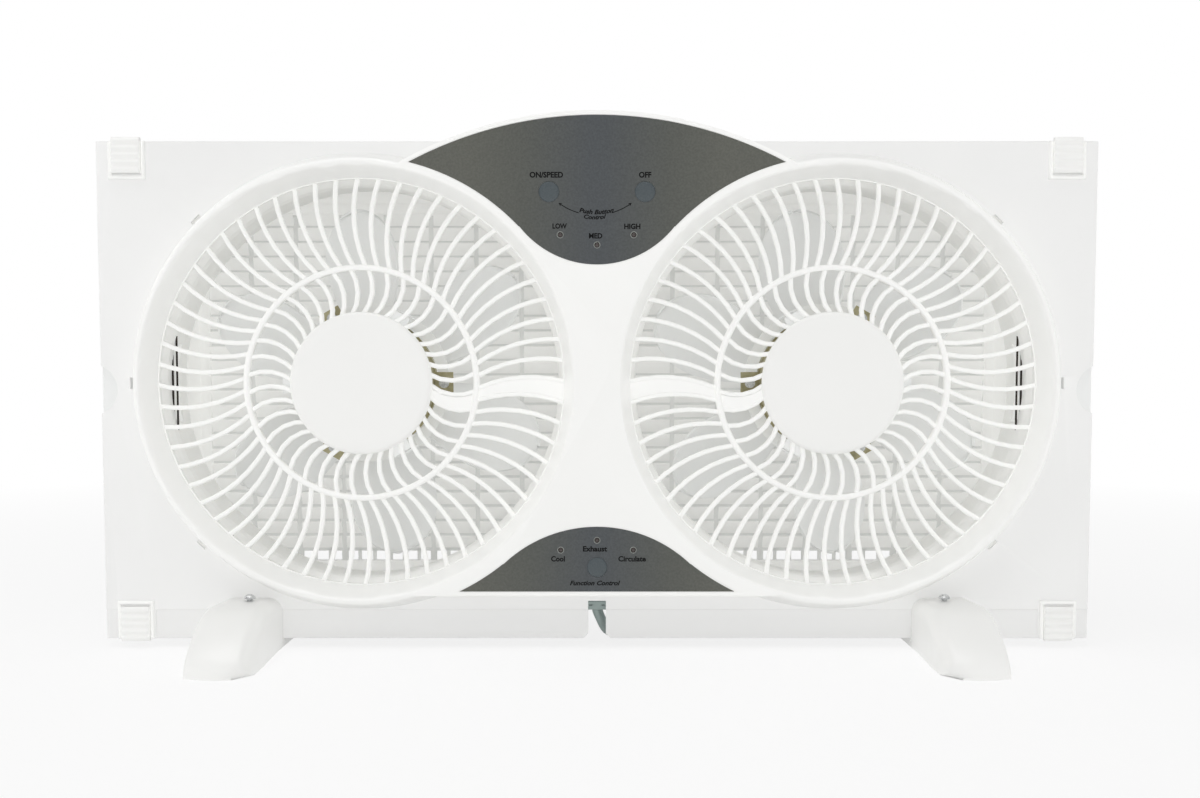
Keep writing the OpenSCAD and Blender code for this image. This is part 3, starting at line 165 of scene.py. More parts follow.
# Infrared-pass acrylic window: smooth, and as dark a grey as the film round it
ir_acrylic = moulded_plastic("infrared_pass_acrylic", "#555B5F", "#4F565B", 0.4, 1.0, 0.002, ior=1.49, cloud_mm=6)
# Moulded nylon of the switches: plain dull black
switch_nylon = moulded_plastic("black_moulded_nylon", "#1B1B1C", "#141415", 0.5, 0.8, 0.01, ior=1.53, cloud_mm=4)
# Nylon strap of the coil's tie: black with a low sheen and a visible tooth
tie_nylon = moulded_plastic("black_strap_nylon", "#202021", "#17171A", 0.45, 0.8, 0.02, ior=1.53, cloud_mm=6)
# Potted polyester box of the capacitors: dull cream
capacitor_box = moulded_plastic("potted_polyester_box", "#D9D6C6", "#CFCBB9", 0.45, 1.0, 0.01, cloud_mm=15)
# Soft grey PVC of the cord: matt, with a slight drag grain from extrusion
cord_pvc = moulded_plastic("extruded_soft_PVC", "#93A09D", "#899592", 0.5, 1.1, 0.02, ior=1.53, cloud_mm=25)
# Black screen ink of the words: flat, dark, and without the film's sparkle
overlay_ink = moulded_plastic("screen_printed_black_ink", "#101010", "#0B0B0C", 0.5, 0.8, 0.002, cloud_mm=8,
                              Specular_IOR_Level=0.12)
# Painted highlight: a lighter grey on the cut edge of the film round each lamp, where it catches the light
lamp_rim_highlight = moulded_plastic("painted_highlight_film_edge", "#8D908C", "#7F827E", 0.31, 0.8, 0.002, ior=1.58,
                                 cloud_mm=3)
# Moulded PVC of the plug, the relief and the gland: a touch glossier than the cord
plug_pvc = moulded_plastic("moulded_soft_PVC", "#8F9C99", "#84908D", 0.42, 1.4, 0.012, ior=1.53, cloud_mm=14)
# Painted shade: dark brown strips in the gaps of the extender slots, where only shade falls; dead matt, a grain drawn
# at 0.9 mm in the way of the moulding grain
painted_gap_shade = moulded_plastic("painted_gap_shade_brown", "#2A211B", "#1D1612", 0.9, 0.9, 0.08, cloud_mm=8)


def overlay_film():
    """Screen-printed polycarbonate film: warm dark grey, a metallic grain drawn at 1.3 mm, and a painted reflection
    that makes it cooler and darker in the middle.
    """
    made, tree, place = new_material("printed_polycarbonate_film")
    axis = add(tree, "ShaderNodeSeparateXYZ", [("Vector", place, "Object")])
    across = add(tree, "ShaderNodeMath", [(0, axis, "X")], operation="ABSOLUTE")
    share = add(tree, "ShaderNodeMapRange", [("Value", across, "Value")], From_Min=0.005, From_Max=0.075)
    # Painted reflection: the tone goes from cool and dark in the middle to warm and lighter towards the sides
    middle = add(tree, "ShaderNodeValToRGB", [("Fac", share, "Result")],
                 [(0, "#585C5F"), (0.55, "#62645F"), (1, "#6B6C65")])
    grain = add(tree, "ShaderNodeTexNoise", [("Vector", place, "Object")], Scale=1 / (1.3 * MM), Roughness=0.7)
    speck = add(tree, "ShaderNodeValToRGB", [("Fac", grain, "Fac")], [(0.35, "#6C6C6C"), (0.65, "#949494")])
    # 6 and 7 are the mix's colour inputs, 2 is its colour output
    tint = add(tree, "ShaderNodeMix", [(6, middle, "Color"), (7, speck, "Color")], data_type="RGBA",
               blend_type="OVERLAY", Factor=0.5)
    relief = add(tree, "ShaderNodeBump", [("Height", grain, "Fac")], Strength=1, Distance=0.006 * MM)
    return surfaced(made, "#696B66", 0.45, [("Base Color", tint, 2), ("Normal", relief, "Normal")], IOR=1.58,
                    Specular_IOR_Level=0.3)


def button_dome():
    """Domed film over a push button: the overlay's print, cooler and darker than the flat film round it."""
    made, tree, place = new_material("domed_printed_film")
    grain = add(tree, "ShaderNodeTexNoise", [("Vector", place, "Object")], Scale=1 / (0.9 * MM), Roughness=0.7)
    tone = add(tree, "ShaderNodeValToRGB", [("Fac", grain, "Fac")], [(0.3, "#444C50"), (0.7, "#50575A")])
    relief = add(tree, "ShaderNodeBump", [("Height", grain, "Fac")], Strength=1, Distance=0.006 * MM)
    return surfaced(made, "#434A4D", 0.4, [("Base Color", tone, "Color"), ("Normal", relief, "Normal")], IOR=1.58,
                    Specular_IOR_Level=0.35)


def circuit_board():
    """Solder-masked glass laminate: green mask over a weave and darker copper runs."""
    made, tree, place = new_material("solder_masked_laminate")
    runs = add(tree, "ShaderNodeTexVoronoi", [("Vector", place, "Object")], Scale=1 / (3.5 * MM),
               feature="DISTANCE_TO_EDGE")
    tone = add(tree, "ShaderNodeValToRGB", [("Fac", runs, "Distance")], [(0.03, "#2F7A48"), (0.07, "#1B5430")])
    relief = add(tree, "ShaderNodeBump", [("Height", runs, "Distance")], Strength=1, Distance=0.02 * MM)
    return surfaced(made, "#1E5A34", 0.35, [("Base Color", tone, "Color"), ("Normal", relief, "Normal")], IOR=1.5)


overlay_print = overlay_film()
button_film = button_dome()
board_laminate = circuit_board()
# Yellow-chromated pressed steel of the motor case: olive to brass blotches over a dull plate
chromate_steel = plated_metal("yellow_chromated_pressed_steel",
                              [(0.3, "#8B866A"), (0.48, "#A7A17F"), (0.62, "#BBB596"), (0.75, "#96978F")],
                              0.42, 14, 0.9, 0.01, metallic=0.6)
# Zinc-plated steel of the screws: bright and slightly blue, with fine turning grain
zinc_steel = plated_metal("zinc_plated_steel", [(0.35, "#C6C8C9"), (0.65, "#E0E1E1")], 0.3, 3, 0.6, 0.006,
                          metallic=0.75)
# Ground steel of the shafts and bearings: bright, with fine lines round the shaft
ground_steel = plated_metal("ground_bearing_steel", [(0.35, "#BFC2C4"), (0.65, "#D9DBDC")], 0.2, 6, 0.5, 0.003,
                            (1, 6, 1))
# Rolled brass of the plug's blades: warm yellow with faint scuffs
blade_brass = plated_metal("rolled_plug_brass", [(0.35, "#C9AE66"), (0.65, "#DCC57E")], 0.28, 5, 0.7, 0.004)
# Silicon steel sheets of the stator and rotor, stacked along the shaft: fine grey bands, drawn at 0.7 mm
lamination_steel = banded_metal("stacked_silicon_steel", "#4A4B4D", "#85878A", 0.45, 0.7, "Y")
# Enamelled copper wire, wound: red-brown bands as wide as the wire
winding_copper = banded_metal("enamelled_wound_copper", "#7A3D1B", "#C8763D", 0.35, 0.8, "Z")

SLOT_MATERIALS = {
    "panel_white": panel_abs, "bezel_white": gloss_abs, "grille_white": rib_abs, "blade_white": blade_pp,
    "housing_white": housing_abs, "overlay_grey": overlay_print, "button_grey": button_film,
    "lamp_red": lamp_epoxy, "ir_window": ir_acrylic, "switch_black": switch_nylon, "board_green": board_laminate,
    "capacitor_white": capacitor_box, "motor_steel": chromate_steel, "lamination_steel": lamination_steel,
    "winding_copper": winding_copper, "shaft_steel": ground_steel, "screw_steel": zinc_steel,
    "cord_grey": cord_pvc, "plug_grey": plug_pvc, "tie_black": tie_nylon,
}
for part in frame["record"]["subparts"]:
    for slot in nodes[part["node"]].material_slots:
        slot.material = SLOT_MATERIALS[part["material_slot"]]
for side, _ in SIDES:
    for slot in nodes[side + "_motor_mount"].material_slots:
        slot.material = blade_pp


# -------------------- modelling tools
def at(x, y, z):
    """A place or a distance in mm, as Blender takes it."""
    return x * MM, y * MM, z * MM


def only(piece):
    """Selects one piece and nothing else."""
    bpy.ops.object.select_all(action="DESELECT")
    piece.select_set(True)
    bpy.context.view_layer.objects.active = piece


def named(name):
    """Gives the newest piece, and its mesh, a name."""
    piece = bpy.context.object
    piece.name = name
    piece.data.name = name
    return piece


def settle(name):
    """Names the newest piece and puts its place into its mesh."""
    piece = named(name)
    only(piece)
    bpy.ops.object.transform_apply(location=True, rotation=True, scale=True)
    return piece


def block(name, low, high):
    """A box from corner to corner, in mm, to be shaped further."""
    middle = [(a + b) / 2 * MM for a, b in zip(low, high)]
    bpy.ops.mesh.primitive_cube_add(size=1, location=middle)
    bpy.context.object.scale = [(b - a) * MM for a, b in zip(low, high)]
    return settle(name)


def modify(piece, kind, **settings):
    """Adds a modifier and applies it."""
    only(piece)
    modifier = piece.modifiers.new(kind.lower(), kind)
    for name, value in settings.items():
        setattr(modifier, name, value)
    bpy.ops.object.modifier_apply(modifier=modifier.name)
    return piece


def rounded(piece, width_mm, segments=3, angle=40):
    return modify(piece, "BEVEL", width=width_mm * MM, segments=segments, limit_method="ANGLE",
                  angle_limit=math.radians(angle), harden_normals=False)


def cut(piece, tool):
    """Cuts a tool's shape out of a piece and removes the tool."""
    modify(piece, "BOOLEAN", operation="DIFFERENCE", object=tool, solver="EXACT")
    bpy.data.objects.remove(tool)


def joined(name, pieces):
    """Several solids as one piece."""
    only(pieces[0])
    for piece in pieces:
        piece.select_set(True)
    bpy.ops.object.join()
    return named(name)


def edit(piece, everything=True):
    """Opens a piece's points in edit mode with everything or nothing selected."""
    only(piece)
    bpy.ops.object.mode_set(mode="EDIT")
    bpy.ops.mesh.select_mode(type="VERT")
    bpy.ops.mesh.select_all(action="SELECT" if everything else "DESELECT")


def leave_edit():
    bpy.ops.object.mode_set(mode="OBJECT")


def clean(piece, gap_mm=0.01):
    """Merges doubles and turns all faces outwards."""
    edit(piece)
    bpy.ops.mesh.remove_doubles(threshold=gap_mm * MM)
    bpy.ops.mesh.normals_make_consistent(inside=False)
    leave_edit()
    return piece


def outline(name, points, closed=True):
    """An outline of edges through points in mm, drawn corner by corner."""
    points = [Vector(p) * MM for p in points]
    bpy.ops.mesh.primitive_plane_add(size=MM, location=points[0])
    piece = settle(name)
    edit(piece)
    bpy.ops.mesh.merge(type="CENTER")
    for a, b in zip(points, points[1:]):
        bpy.ops.mesh.extrude_vertices_move(TRANSFORM_OT_translate={"value": b - a})
    leave_edit()
    if closed:
        piece.data.vertices[0].select = True
        bpy.ops.object.mode_set(mode="EDIT")
        bpy.ops.mesh.edge_face_add()
        leave_edit()
    return piece


def extruded(name, points, x=0, y=0):
    """A bar whose end face is a closed outline, drawn out along x or y, all in mm."""
    piece = outline(name, points)
    edit(piece)
    bpy.ops.mesh.edge_face_add()
    bpy.ops.mesh.extrude_region_move(TRANSFORM_OT_translate={"value": at(x, y, 0)})
    leave_edit()
    return clean(piece)


def turned(name, profile, x=-FAN_X, z=FAN_Z, steps=192):
    """A solid of revolution about a line along Y at x, z, from a closed outline of (radius, y) points."""
    piece = outline(name, [(x + r, y, z) for r, y in profile])
    edit(piece)
    bpy.ops.mesh.spin(steps=steps, angle=2 * math.pi, center=at(x, 0, z), axis=(0, 1, 0))
    leave_edit()
    return clean(piece, 0.004)


def round_copies(piece, count):
    """Copies a piece's mesh evenly round the left fan's axis."""
    edit(piece)
    bpy.ops.mesh.spin(steps=count - 1, dupli=True, angle=2 * math.pi * (count - 1) / count,
                      center=at(-FAN_X, 0, FAN_Z), axis=(0, 1, 0))
    leave_edit()
    return piece


def copied(piece, name):
    """A copy with its own mesh."""
    only(piece)
    bpy.ops.object.duplicate(linked=False)
    return named(name)


def mirrored(piece, name):
    """A mirror image across x = 0 with its faces turned outwards again."""
    made = copied(piece, name)
    edit(made)
    bpy.ops.transform.mirror(constraint_axis=(True, False, False), orient_type="GLOBAL", center_override=(0, 0, 0))
    bpy.ops.mesh.normals_make_consistent(inside=False)
    leave_edit()
    return made


def moved(piece, x):
    only(piece)
    bpy.ops.transform.translate(value=at(x, 0, 0))
    bpy.ops.object.transform_apply(location=True, rotation=True, scale=True)
    return piece


def merged_copy(node, name, width_mm, segments, angle):
    """A copy of a CAD node with its loose triangles merged into clean faces and its edges rounded."""
    made = copied(nodes[node], name)
    made.parent = None
    # The copy drops the frame's own marks, so that it counts as a new piece
    for key in list(made.keys()):
        del made[key]
    edit(made)
    bpy.ops.mesh.remove_doubles(threshold=0.004 * MM)
    bpy.ops.mesh.dissolve_limited(angle_limit=math.radians(0.6))
    leave_edit()
    made.data.materials.clear()
    return rounded(made, width_mm, segments, angle)


def dress(piece, body, material, slot, *replaced, angle=35):
    """Finishes a piece: smooth shading, material, the body it rides on, and hiding the nodes it stands for; slot is
    not used.
    """
    only(piece)
    bpy.ops.object.shade_smooth_by_angle(angle=math.radians(angle))
    if not piece.data.materials:
        piece.data.materials.append(material)
    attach(piece, body)
    if replaced:
        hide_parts(*replaced)
    return piece


def dress_pair(left, material, slot, *replaced, angle):
    """Dresses a left-hand piece of the housing, and its mirror image on the right."""
    right = mirrored(left, left.name.replace("left", "right"))
    dress(left, "housing", material, slot, *replaced, angle=angle)
    dress(right, "housing", material, slot, *(node.replace("left", "right") for node in replaced), angle=angle)


# -------------------- cord, coil and plug
CORD_W, CORD_H, CORD_TWIST = 6.0, 3.6, 48
LEAD = [(0.16, -7.94, 22.33), (1.16, -7.58, 19.39), (2.46, -6.68, 16.13), (3.87, -5.33, 13.08), (5.35, -3.55, 10.3),
        (6.89, -1.37, 7.84), (8.45, 1.15, 5.76), (10, 3.97, 4.1), (11.5, 7.04, 2.88), (12.93, 10.29, 2.15),
        (14.26, 13.65, 1.9), (18.63, 24.16, 1.9), (23.74, 34.87, 1.9), (29.16, 45.63, 1.9), (34.51, 56.34, 1.9),
        (39.37, 66.85, 1.9), (43.34, 77.05, 1.9), (46.02, 86.81, 1.9), (47, 96, 1.9), (47, 112, 2), (47, 124, 2.2),
        (47, 136, 2.5), (47, 148, 2.8), (47, 159.8, 2.85)]
TAIL = [(109, 217.7, 7.1), (118, 217.7, 6.5), (128, 217.9, 4.9), (138, 218.4, 3.1), (148, 219, 2),
        (158, 219.6, 1.9), (168, 220, 2.1), (178, 220.2, 3.6), (188, 220.3, 5.6), (198, 220.3, 6.9),
        (206, 220.3, 7.2)]
COIL_X, COIL_Y, COIL_R, TURN_PITCH = 103, 160, 56, 6.8
LAYER_TURNS, COIL_TURNS, LOOP_RINGS = 2.5, 5.25, 24
COIL_LOW = CORD_H / 2 + 0.8 + 0.25
LAYER_H = CORD_H + 0.7


def smooth_step(t):
    """0 to 1 with level ends."""
    t = min(1, max(0, t))
    return t * t * (3 - 2 * t)


def coil_centre(t):
    """Centre of the wound cord after t turns: in along the lower layer, out along the upper one."""
    r = COIL_R - TURN_PITCH * (LAYER_TURNS - abs(t - LAYER_TURNS))
    a = math.radians(180 - 360 * t)
    z = COIL_LOW + LAYER_H * smooth_step((t - LAYER_TURNS) * 3 + 0.5)
    return (COIL_X + r * math.cos(a), COIL_Y + r * math.sin(a), z)


coil = [coil_centre(i / LOOP_RINGS) for i in range(1, int(LOOP_RINGS * COIL_TURNS) + 1)]
route = [Vector(p) * MM for p in LEAD + coil + TAIL]


def cord_mesh(name, points, lie_from, lie_to, taper=lambda share: 1):
    """Flat twin cord swept along the route: two round lobes joined by a thin web, turning flat between two points."""
    lobe, web = CORD_H / 2 * MM, (CORD_W - CORD_H) / 2 * MM
    half = [(web + lobe * math.cos(math.radians(a)), lobe * math.sin(math.radians(a))) for a in range(-120, 121, 30)]
    section = [(x, z * (0.72 if abs(x) < web * 0.75 else 1)) for x, z in half + [(-x, -z) for x, z in half]]
    vertices, faces, n = [], [], len(section)
    for i, centre in enumerate(points):
        way = (points[min(i + 1, len(points) - 1)] - points[max(i - 1, 0)]).normalized()
        lie = min(1, max(0, (i - lie_from) / (lie_to - lie_from)))
        twist = math.radians(CORD_TWIST) * (1 - lie)
        flat = way.cross(Vector((0, 1 - lie, lie))).normalized()
        side = flat * math.cos(twist) + flat.cross(way) * math.sin(twist)
        up = side.cross(way)
        size = taper(i / (len(points) - 1))
        vertices += [centre + side * x * size + up * z * size for x, z in section]
    for i in range(len(points) - 1):
        faces += [[i * n + k, (i + 1) * n + k, (i + 1) * n + (k + 1) % n, i * n + (k + 1) % n] for k in range(n)]
    faces += [list(range(n)), [(len(points) - 1) * n + k for k in reversed(range(n))]]
    mesh = bpy.data.meshes.new(name)
    mesh.from_pydata(vertices, [], faces)
    piece = bpy.data.objects.new(name, mesh)
    bpy.context.scene.collection.objects.link(piece)
    edit(piece)
    bpy.ops.mesh.normals_make_consistent(inside=False)
    leave_edit()
    return piece


power_lead = dress(cord_mesh("flat_twin_cord", route, 2, 7), "housing", cord_pvc, "cord_grey",
                   "power_cord", "cord_coil", angle=60)

# Tapered relief moulded over the first 25 mm of the cord, starting inside the gland
relief_route = [Vector(p) * MM for p in [(0, -8, 29), (0, -8, 26)] + LEAD[:6]]
dress(cord_mesh("tapered_cord_relief", relief_route, 4, 9, lambda share: 1.34 - 0.26 * share),
      "housing", plug_pvc, "cord_grey", angle=60)


def plug_body():
    """Moulded two-pin plug: ringed relief and a flat grip with finger ridges."""
    x, y, z = TAIL[-1]
    bpy.ops.mesh.primitive_cone_add(vertices=32, radius1=3.9 * MM, radius2=5.4 * MM, depth=9.4 * MM,
                                    location=at(x + 4.8, y, z), rotation=(0, math.pi / 2, 0))
    relief = settle("plug_relief")
    rings = []
    for k in range(3):
        bpy.ops.mesh.primitive_torus_add(major_radius=(4.35 + 0.42 * k) * MM, minor_radius=0.45 * MM,
                                         major_segments=32, minor_segments=8, rotation=(0, math.pi / 2, 0),
                                         location=at(x + 2.2 + 2.6 * k, y, z))
        rings.append(settle("plug_ring"))
    body = rounded(block("plug_grip", (x + 9, y - 11.8, 0.3), (x + 33, y + 11.8, 2 * z - 0.3)), 2.2, 4)
    ridges = [rounded(block("plug_ridge", (x + 13.5 + 4 * k, y - 8, 2 * z - 0.6),
                            (x + 15 + 4 * k, y + 8, 2 * z - 0.12)), 0.3, 2) for k in range(4)]
    return joined("two_pin_plug", [body, relief] + rings + ridges)


plug_moulding = dress(plug_body(), "housing", plug_pvc, "plug_grey", "plug")


def plug_blades():
    """Two flat blades, 12.7 mm apart, each with its hole."""
    x, y, z = TAIL[-1]
    blades = []
    for middle in (y - 6.35, y + 6.35):
        blade = block("plug_blade", (x + 32, middle - 0.75, z - 3.15), (x + 48.9, middle + 0.75, z + 3.15))
        bpy.ops.mesh.primitive_cylinder_add(vertices=24, radius=1.2 * MM, depth=6 * MM, rotation=(math.pi / 2, 0, 0),
                                            location=at(x + 45.2, middle, z))
        cut(blade, settle("blade_hole"))
        blades.append(rounded(blade, 0.35, 2))
    return joined("plug_blades", blades)


pins = dress(plug_blades(), "housing", blade_brass, "plug_grey")

# -------------------- front grilles
RIB_W, GRILLE_FRONT, GRILLE_BACK = 2.9, -14.4, -11.2
MID_R, MID_W, OPENING_R, HOLE_R, CAP_R, HUB_RING_R = 70.8, 3.7, 125, 130, 43.8, 37


def on_ring(radius, degrees):
    """A point round the fan's axis."""
    return Vector((radius * math.cos(math.radians(degrees)), radius * math.sin(math.radians(degrees))))


def rib(name, start, end, bulge, side, steps):
    """One curved rib: an oblong section with rounded front corners, spun along the rib's arc about the left fan."""
    chord = (end - start).length
    radius = (chord ** 2 / 4 + bulge ** 2) / (2 * bulge)
    across = Vector((start.y - end.y, end.x - start.x)) / chord
    middle = (start + end) / 2 + across * side * (bulge - radius)
    first, last = (end, start) if side > 0 else (start, end)
    begin = math.atan2(first.y - middle.y, first.x - middle.x)
    sweep = (math.atan2(last.y - middle.y, last.x - middle.x) - begin) % (2 * math.pi)
    centre = at(middle.x - FAN_X, 0, middle.y + FAN_Z)
    bpy.ops.mesh.primitive_plane_add(size=1, rotation=(0, -begin, 0), location=at(
        first.x - FAN_X, (GRILLE_FRONT + GRILLE_BACK) / 2, first.y + FAN_Z))
    bpy.context.object.scale = (RIB_W * MM, (GRILLE_BACK - GRILLE_FRONT) * MM, 1)
    piece = settle(name)
    front = GRILLE_FRONT * MM + 1e-5
    for vertex in piece.data.vertices:
        vertex.select = vertex.co.y < front
    bpy.ops.object.mode_set(mode="EDIT")
    bpy.ops.mesh.select_mode(type="VERT")
    bpy.ops.mesh.bevel(offset=0.95 * MM, segments=3, affect="VERTICES")
    bpy.ops.mesh.select_all(action="SELECT")
    bpy.ops.mesh.spin(steps=steps, angle=sweep, center=centre, axis=(0, 1, 0))
    leave_edit()
    return clean(piece)


def front_grille():
    """60 outer and 40 inner ribs between a hub ring, a rounded middle ring and the ring in the panel's hole."""
    outer = rib("outer_rib", on_ring(MID_R + MID_W / 4, -2.4), on_ring(OPENING_R + 1, 0.4), 4.7, 1, 6)
    inner = rib("inner_rib", on_ring(CAP_R - 2, -1.2), on_ring(MID_R - MID_W / 4, -4.1), 4.1, -1, 4)
    middle = turned("middle_ring", [(MID_R - 1.85, GRILLE_BACK), (MID_R - 1.85, -14.2), (MID_R - 1.5, -15),
                                    (MID_R - 0.8, -15.4), (MID_R + 0.8, -15.4), (MID_R + 1.5, -15),
                                    (MID_R + 1.85, -14.2), (MID_R + 1.85, GRILLE_BACK)], steps=144)
    hub = turned("hub_ring", [(HUB_RING_R, -14.7), (CAP_R - 0.8, -14.7), (CAP_R - 0.8, GRILLE_BACK),
                              (HUB_RING_R, GRILLE_BACK)], steps=96)
    seat = turned("seat_ring", [(OPENING_R - 0.6, GRILLE_FRONT), (HOLE_R - 0.3, GRILLE_FRONT), (HOLE_R - 0.3, -12.6),
                                (HOLE_R + 5, -12.6), (HOLE_R + 5, -10.6), (OPENING_R - 0.6, -10.6)])
    return joined("left_front_grille", [round_copies(outer, 60), round_copies(inner, 40), middle, hub, seat])


dress_pair(front_grille(), rib_abs, "grille_white", "left_grille", angle=38)


def hub_cap():
    """Round cap with a soft shoulder, clipped over the grille's hub."""
    face = -16.7
    return turned("left_round_cap", [
        (0, face), (CAP_R - 5, face), (CAP_R - 3.6, face + 0.05), (CAP_R - 2.4, face + 0.2),
        (CAP_R - 1.4, face + 0.5), (CAP_R - 0.6, face + 1), (CAP_R - 0.15, face + 1.55), (CAP_R, face + 2),
        (36.7, face + 2), (36.7, face + 4.8), (35, face + 4.8), (35, face + 2), (0, face + 2)], steps=144)


dress_pair(hub_cap(), gloss_abs, "bezel_white", "left_hub_cap", angle=40)

# -------------------- impellers
HUB_R, HUB_FRONT, HUB_BACK, BLADE_Y, BLADE_TIP_R = 36, 33.7, 58, 45, 114
BLADE_ROOT_W, BLADE_W, BLADE_T, CAMBER = 34, 60, 1.8, 3.5
ROOT_PITCH, TIP_PITCH, BLADE_PHASE, BLADE_COUNT = 36, 24, 37.5, 6


def blade_point(u, v):
    """A point of the blade's middle skin at span share u and chord place v from -1 to 1, about the left fan."""
    if u < 0.6:
        width = BLADE_ROOT_W + (BLADE_W - BLADE_ROOT_W) * math.sin(math.radians(150 * u))
    else:
        width = BLADE_W * math.sqrt(max(0.004, 1 - ((u - 0.6) / 0.4) ** 2))
    radius = HUB_R - 1 + (BLADE_TIP_R - HUB_R + 1) * u
    pitch = math.radians(ROOT_PITCH + (TIP_PITCH - ROOT_PITCH) * u)
    along = v * width / 2
    angle = along * math.cos(pitch) / radius + math.radians(BLADE_PHASE)
    y = BLADE_Y + along * math.sin(pitch) + CAMBER * (1 - v * v)
    return Vector((radius * math.cos(angle) - FAN_X, y, radius * math.sin(angle) + FAN_Z)) * MM


def impeller():
    """Six broad pitched blades with rounded rims on a deep hub."""
    rows, columns = 20, 12
    bpy.ops.mesh.primitive_grid_add(x_subdivisions=columns, y_subdivisions=rows, size=2)
    blade = settle("blade")
    for vertex in blade.data.vertices:
        vertex.co = blade_point(math.sin((vertex.co.y + 1) * math.pi / 4), vertex.co.x)
    modify(blade, "SOLIDIFY", thickness=BLADE_T * MM, offset=0)
    clean(blade)
    rounded(blade, 0.6, 2, 60)
    round_copies(blade, BLADE_COUNT)
    hub = turned("hub", [(HUB_R, HUB_FRONT), (HUB_R, HUB_BACK - 4), (HUB_R - 0.4, HUB_BACK - 2.2),
                         (HUB_R - 1.4, HUB_BACK - 0.9), (HUB_R - 2.8, HUB_BACK - 0.2), (HUB_R - 4, HUB_BACK),
                         (4, HUB_BACK), (4, 37.2), (9, 37.2), (9, HUB_BACK - 2.2), (HUB_R - 4.6, HUB_BACK - 2.2),
                         (HUB_R - 2.2, HUB_BACK - 5), (HUB_R - 2.2, HUB_FRONT)], steps=96)
    return joined("left_fan_wheel", [blade, hub])


left_wheel = impeller()
right_wheel = moved(copied(left_wheel, "right_fan_wheel"), 2 * FAN_X)
dress(left_wheel, "left_fan", blade_pp, "blade_white", "left_impeller", angle=50)
dress(right_wheel, "right_fan", blade_pp, "blade_white", "right_impeller", angle=50)

# -------------------- mouldings with rounded edges
# Node, piece, body, material, slot, and the rounding's width in mm, segments and least angle
MOULDINGS = (
    ("front_bezel", "bezel_moulding", "housing", bezel_abs, "bezel_white", 0.45, 3, 42),
    ("front_panel", "panel_moulding", "housing", panel_abs, "panel_white", 0.35, 2, 50),
    ("rear_housing", "housing_moulding", "housing", housing_abs, "housing_white", 0.6, 2, 50),
    ("left_extender", "left_extender_moulding", "left_extender", blade_pp, "blade_white", 0.25, 2, 50),
    ("right_extender", "right_extender_moulding", "right_extender", blade_pp, "blade_white", 0.25, 2, 50),
)
for node, name, body, material, slot, *rounding in MOULDINGS:
    dress(merged_copy(node, name, *rounding), body, material, slot, node, angle=32)

# -------------------- slide locks and their pockets
LOCK_X, LOCK_HALF, LOCK_H, LOCK_FRONT, LOCK_BACK = 286, 8.65, 21.5, -18.15, -15.15
LOCK_RIDGES, RIDGE_STEPS, RIDGE_DEPTH = 5, 8, 0.45
# Height of a lock, the panel's edge beside it, and the inner and outer line of its pocket's closed end
LOCK_LEVELS = (("top", 302.25, 310.9, 290.2, 287.9), ("bottom", 15.05, 5.6, 27.1, 29.4))
POCKET_HALF, RIM_HALF = 9.1, 11.25


def slide_lock(name, x, z):
    """Slide with broad rounded finger ridges, on a stem through the panel with a keeper behind it."""
    low, steps = z - LOCK_H / 2, LOCK_RIDGES * RIDGE_STEPS
    wave = [(x - LOCK_HALF, LOCK_FRONT - 0.35 + RIDGE_DEPTH * math.cos(2 * math.pi * k / RIDGE_STEPS),
             low + LOCK_H * k / steps) for k in range(steps + 1)]
    back = [(x - LOCK_HALF, LOCK_BACK, low + LOCK_H), (x - LOCK_HALF, LOCK_BACK, low)]
    grip = rounded(extruded("lock_grip", wave + back, x=2 * LOCK_HALF), 0.35, 3, 60)
    stem = rounded(block("lock_stem", (x - 5, -15.3, z - 2), (x + 5, -12.3, z + 2)), 0.2, 2)
    keeper = rounded(block("lock_keeper", (x - 7.5, -12.45, z - 7), (x + 7.5, -10.85, z + 7)), 0.3, 2)
    return joined(name, [grip, stem, keeper])


def pocket_rim(x, edge, inner, outer):
    """Rounded rim of the panel on three sides of a lock, open towards the panel's edge."""
    plan = [(-RIM_HALF, edge), (-RIM_HALF, outer), (RIM_HALF, outer), (RIM_HALF, edge), (POCKET_HALF, edge),
            (POCKET_HALF, inner), (-POCKET_HALF, inner), (-POCKET_HALF, edge)]
    return rounded(extruded("pocket_rim", [(x + px, -17.3, pz) for px, pz in plan], y=2.4), 0.95, 4)


pocket_rims = []
for side, s in SIDES:
    for level, z, *rim in LOCK_LEVELS:
        node = "lock_" + level + "_" + side
        dress(slide_lock(level + "_" + side + "_lock", s * LOCK_X, z), node, gloss_abs, "bezel_white", node, angle=60)
        pocket_rims.append(pocket_rim(s * LOCK_X, *rim))
dress(joined("lock_pocket_rims", pocket_rims), "housing", bezel_abs, "bezel_white", angle=60)

# -------------------- feet
# Sections of a foot as (y, height); the dip to 5.2 is the slot that takes the panel's skirt
FOOT_SECTIONS = [(-100, 0), (-100, 1.4), (-99.8, 3), (-99.2, 5), (-98, 7.6), (-95.5, 10.8), (-93, 13.1),
                 (-89, 16.2), (-85, 18.8), (-80, 21.6), (-75, 24.1), (-70, 26.6), (-65, 28.8), (-60, 30.5),
                 (-55, 31.5), (-50, 31.8), (-45, 31.8), (-30, 31.4), (-15.2, 31), (-15.15, 5.2), (-12.4, 5.2),
                 (-12.35, 23.8), (45, 23.8), (58, 21.5), (72, 16.5), (86, 10.5), (97, 5.5), (100, 3.5), (100, 0)]
FOOT_X, TOE_HALF, HEEL_HALF, INNER_EDGE_R, OUTER_EDGE_R, SCREW_Y = 212, 18.5, 16.5, 8.5, 1.8, -28
# Steps across a section, from one lower corner over the top to the other
FOOT_STEPS = 24
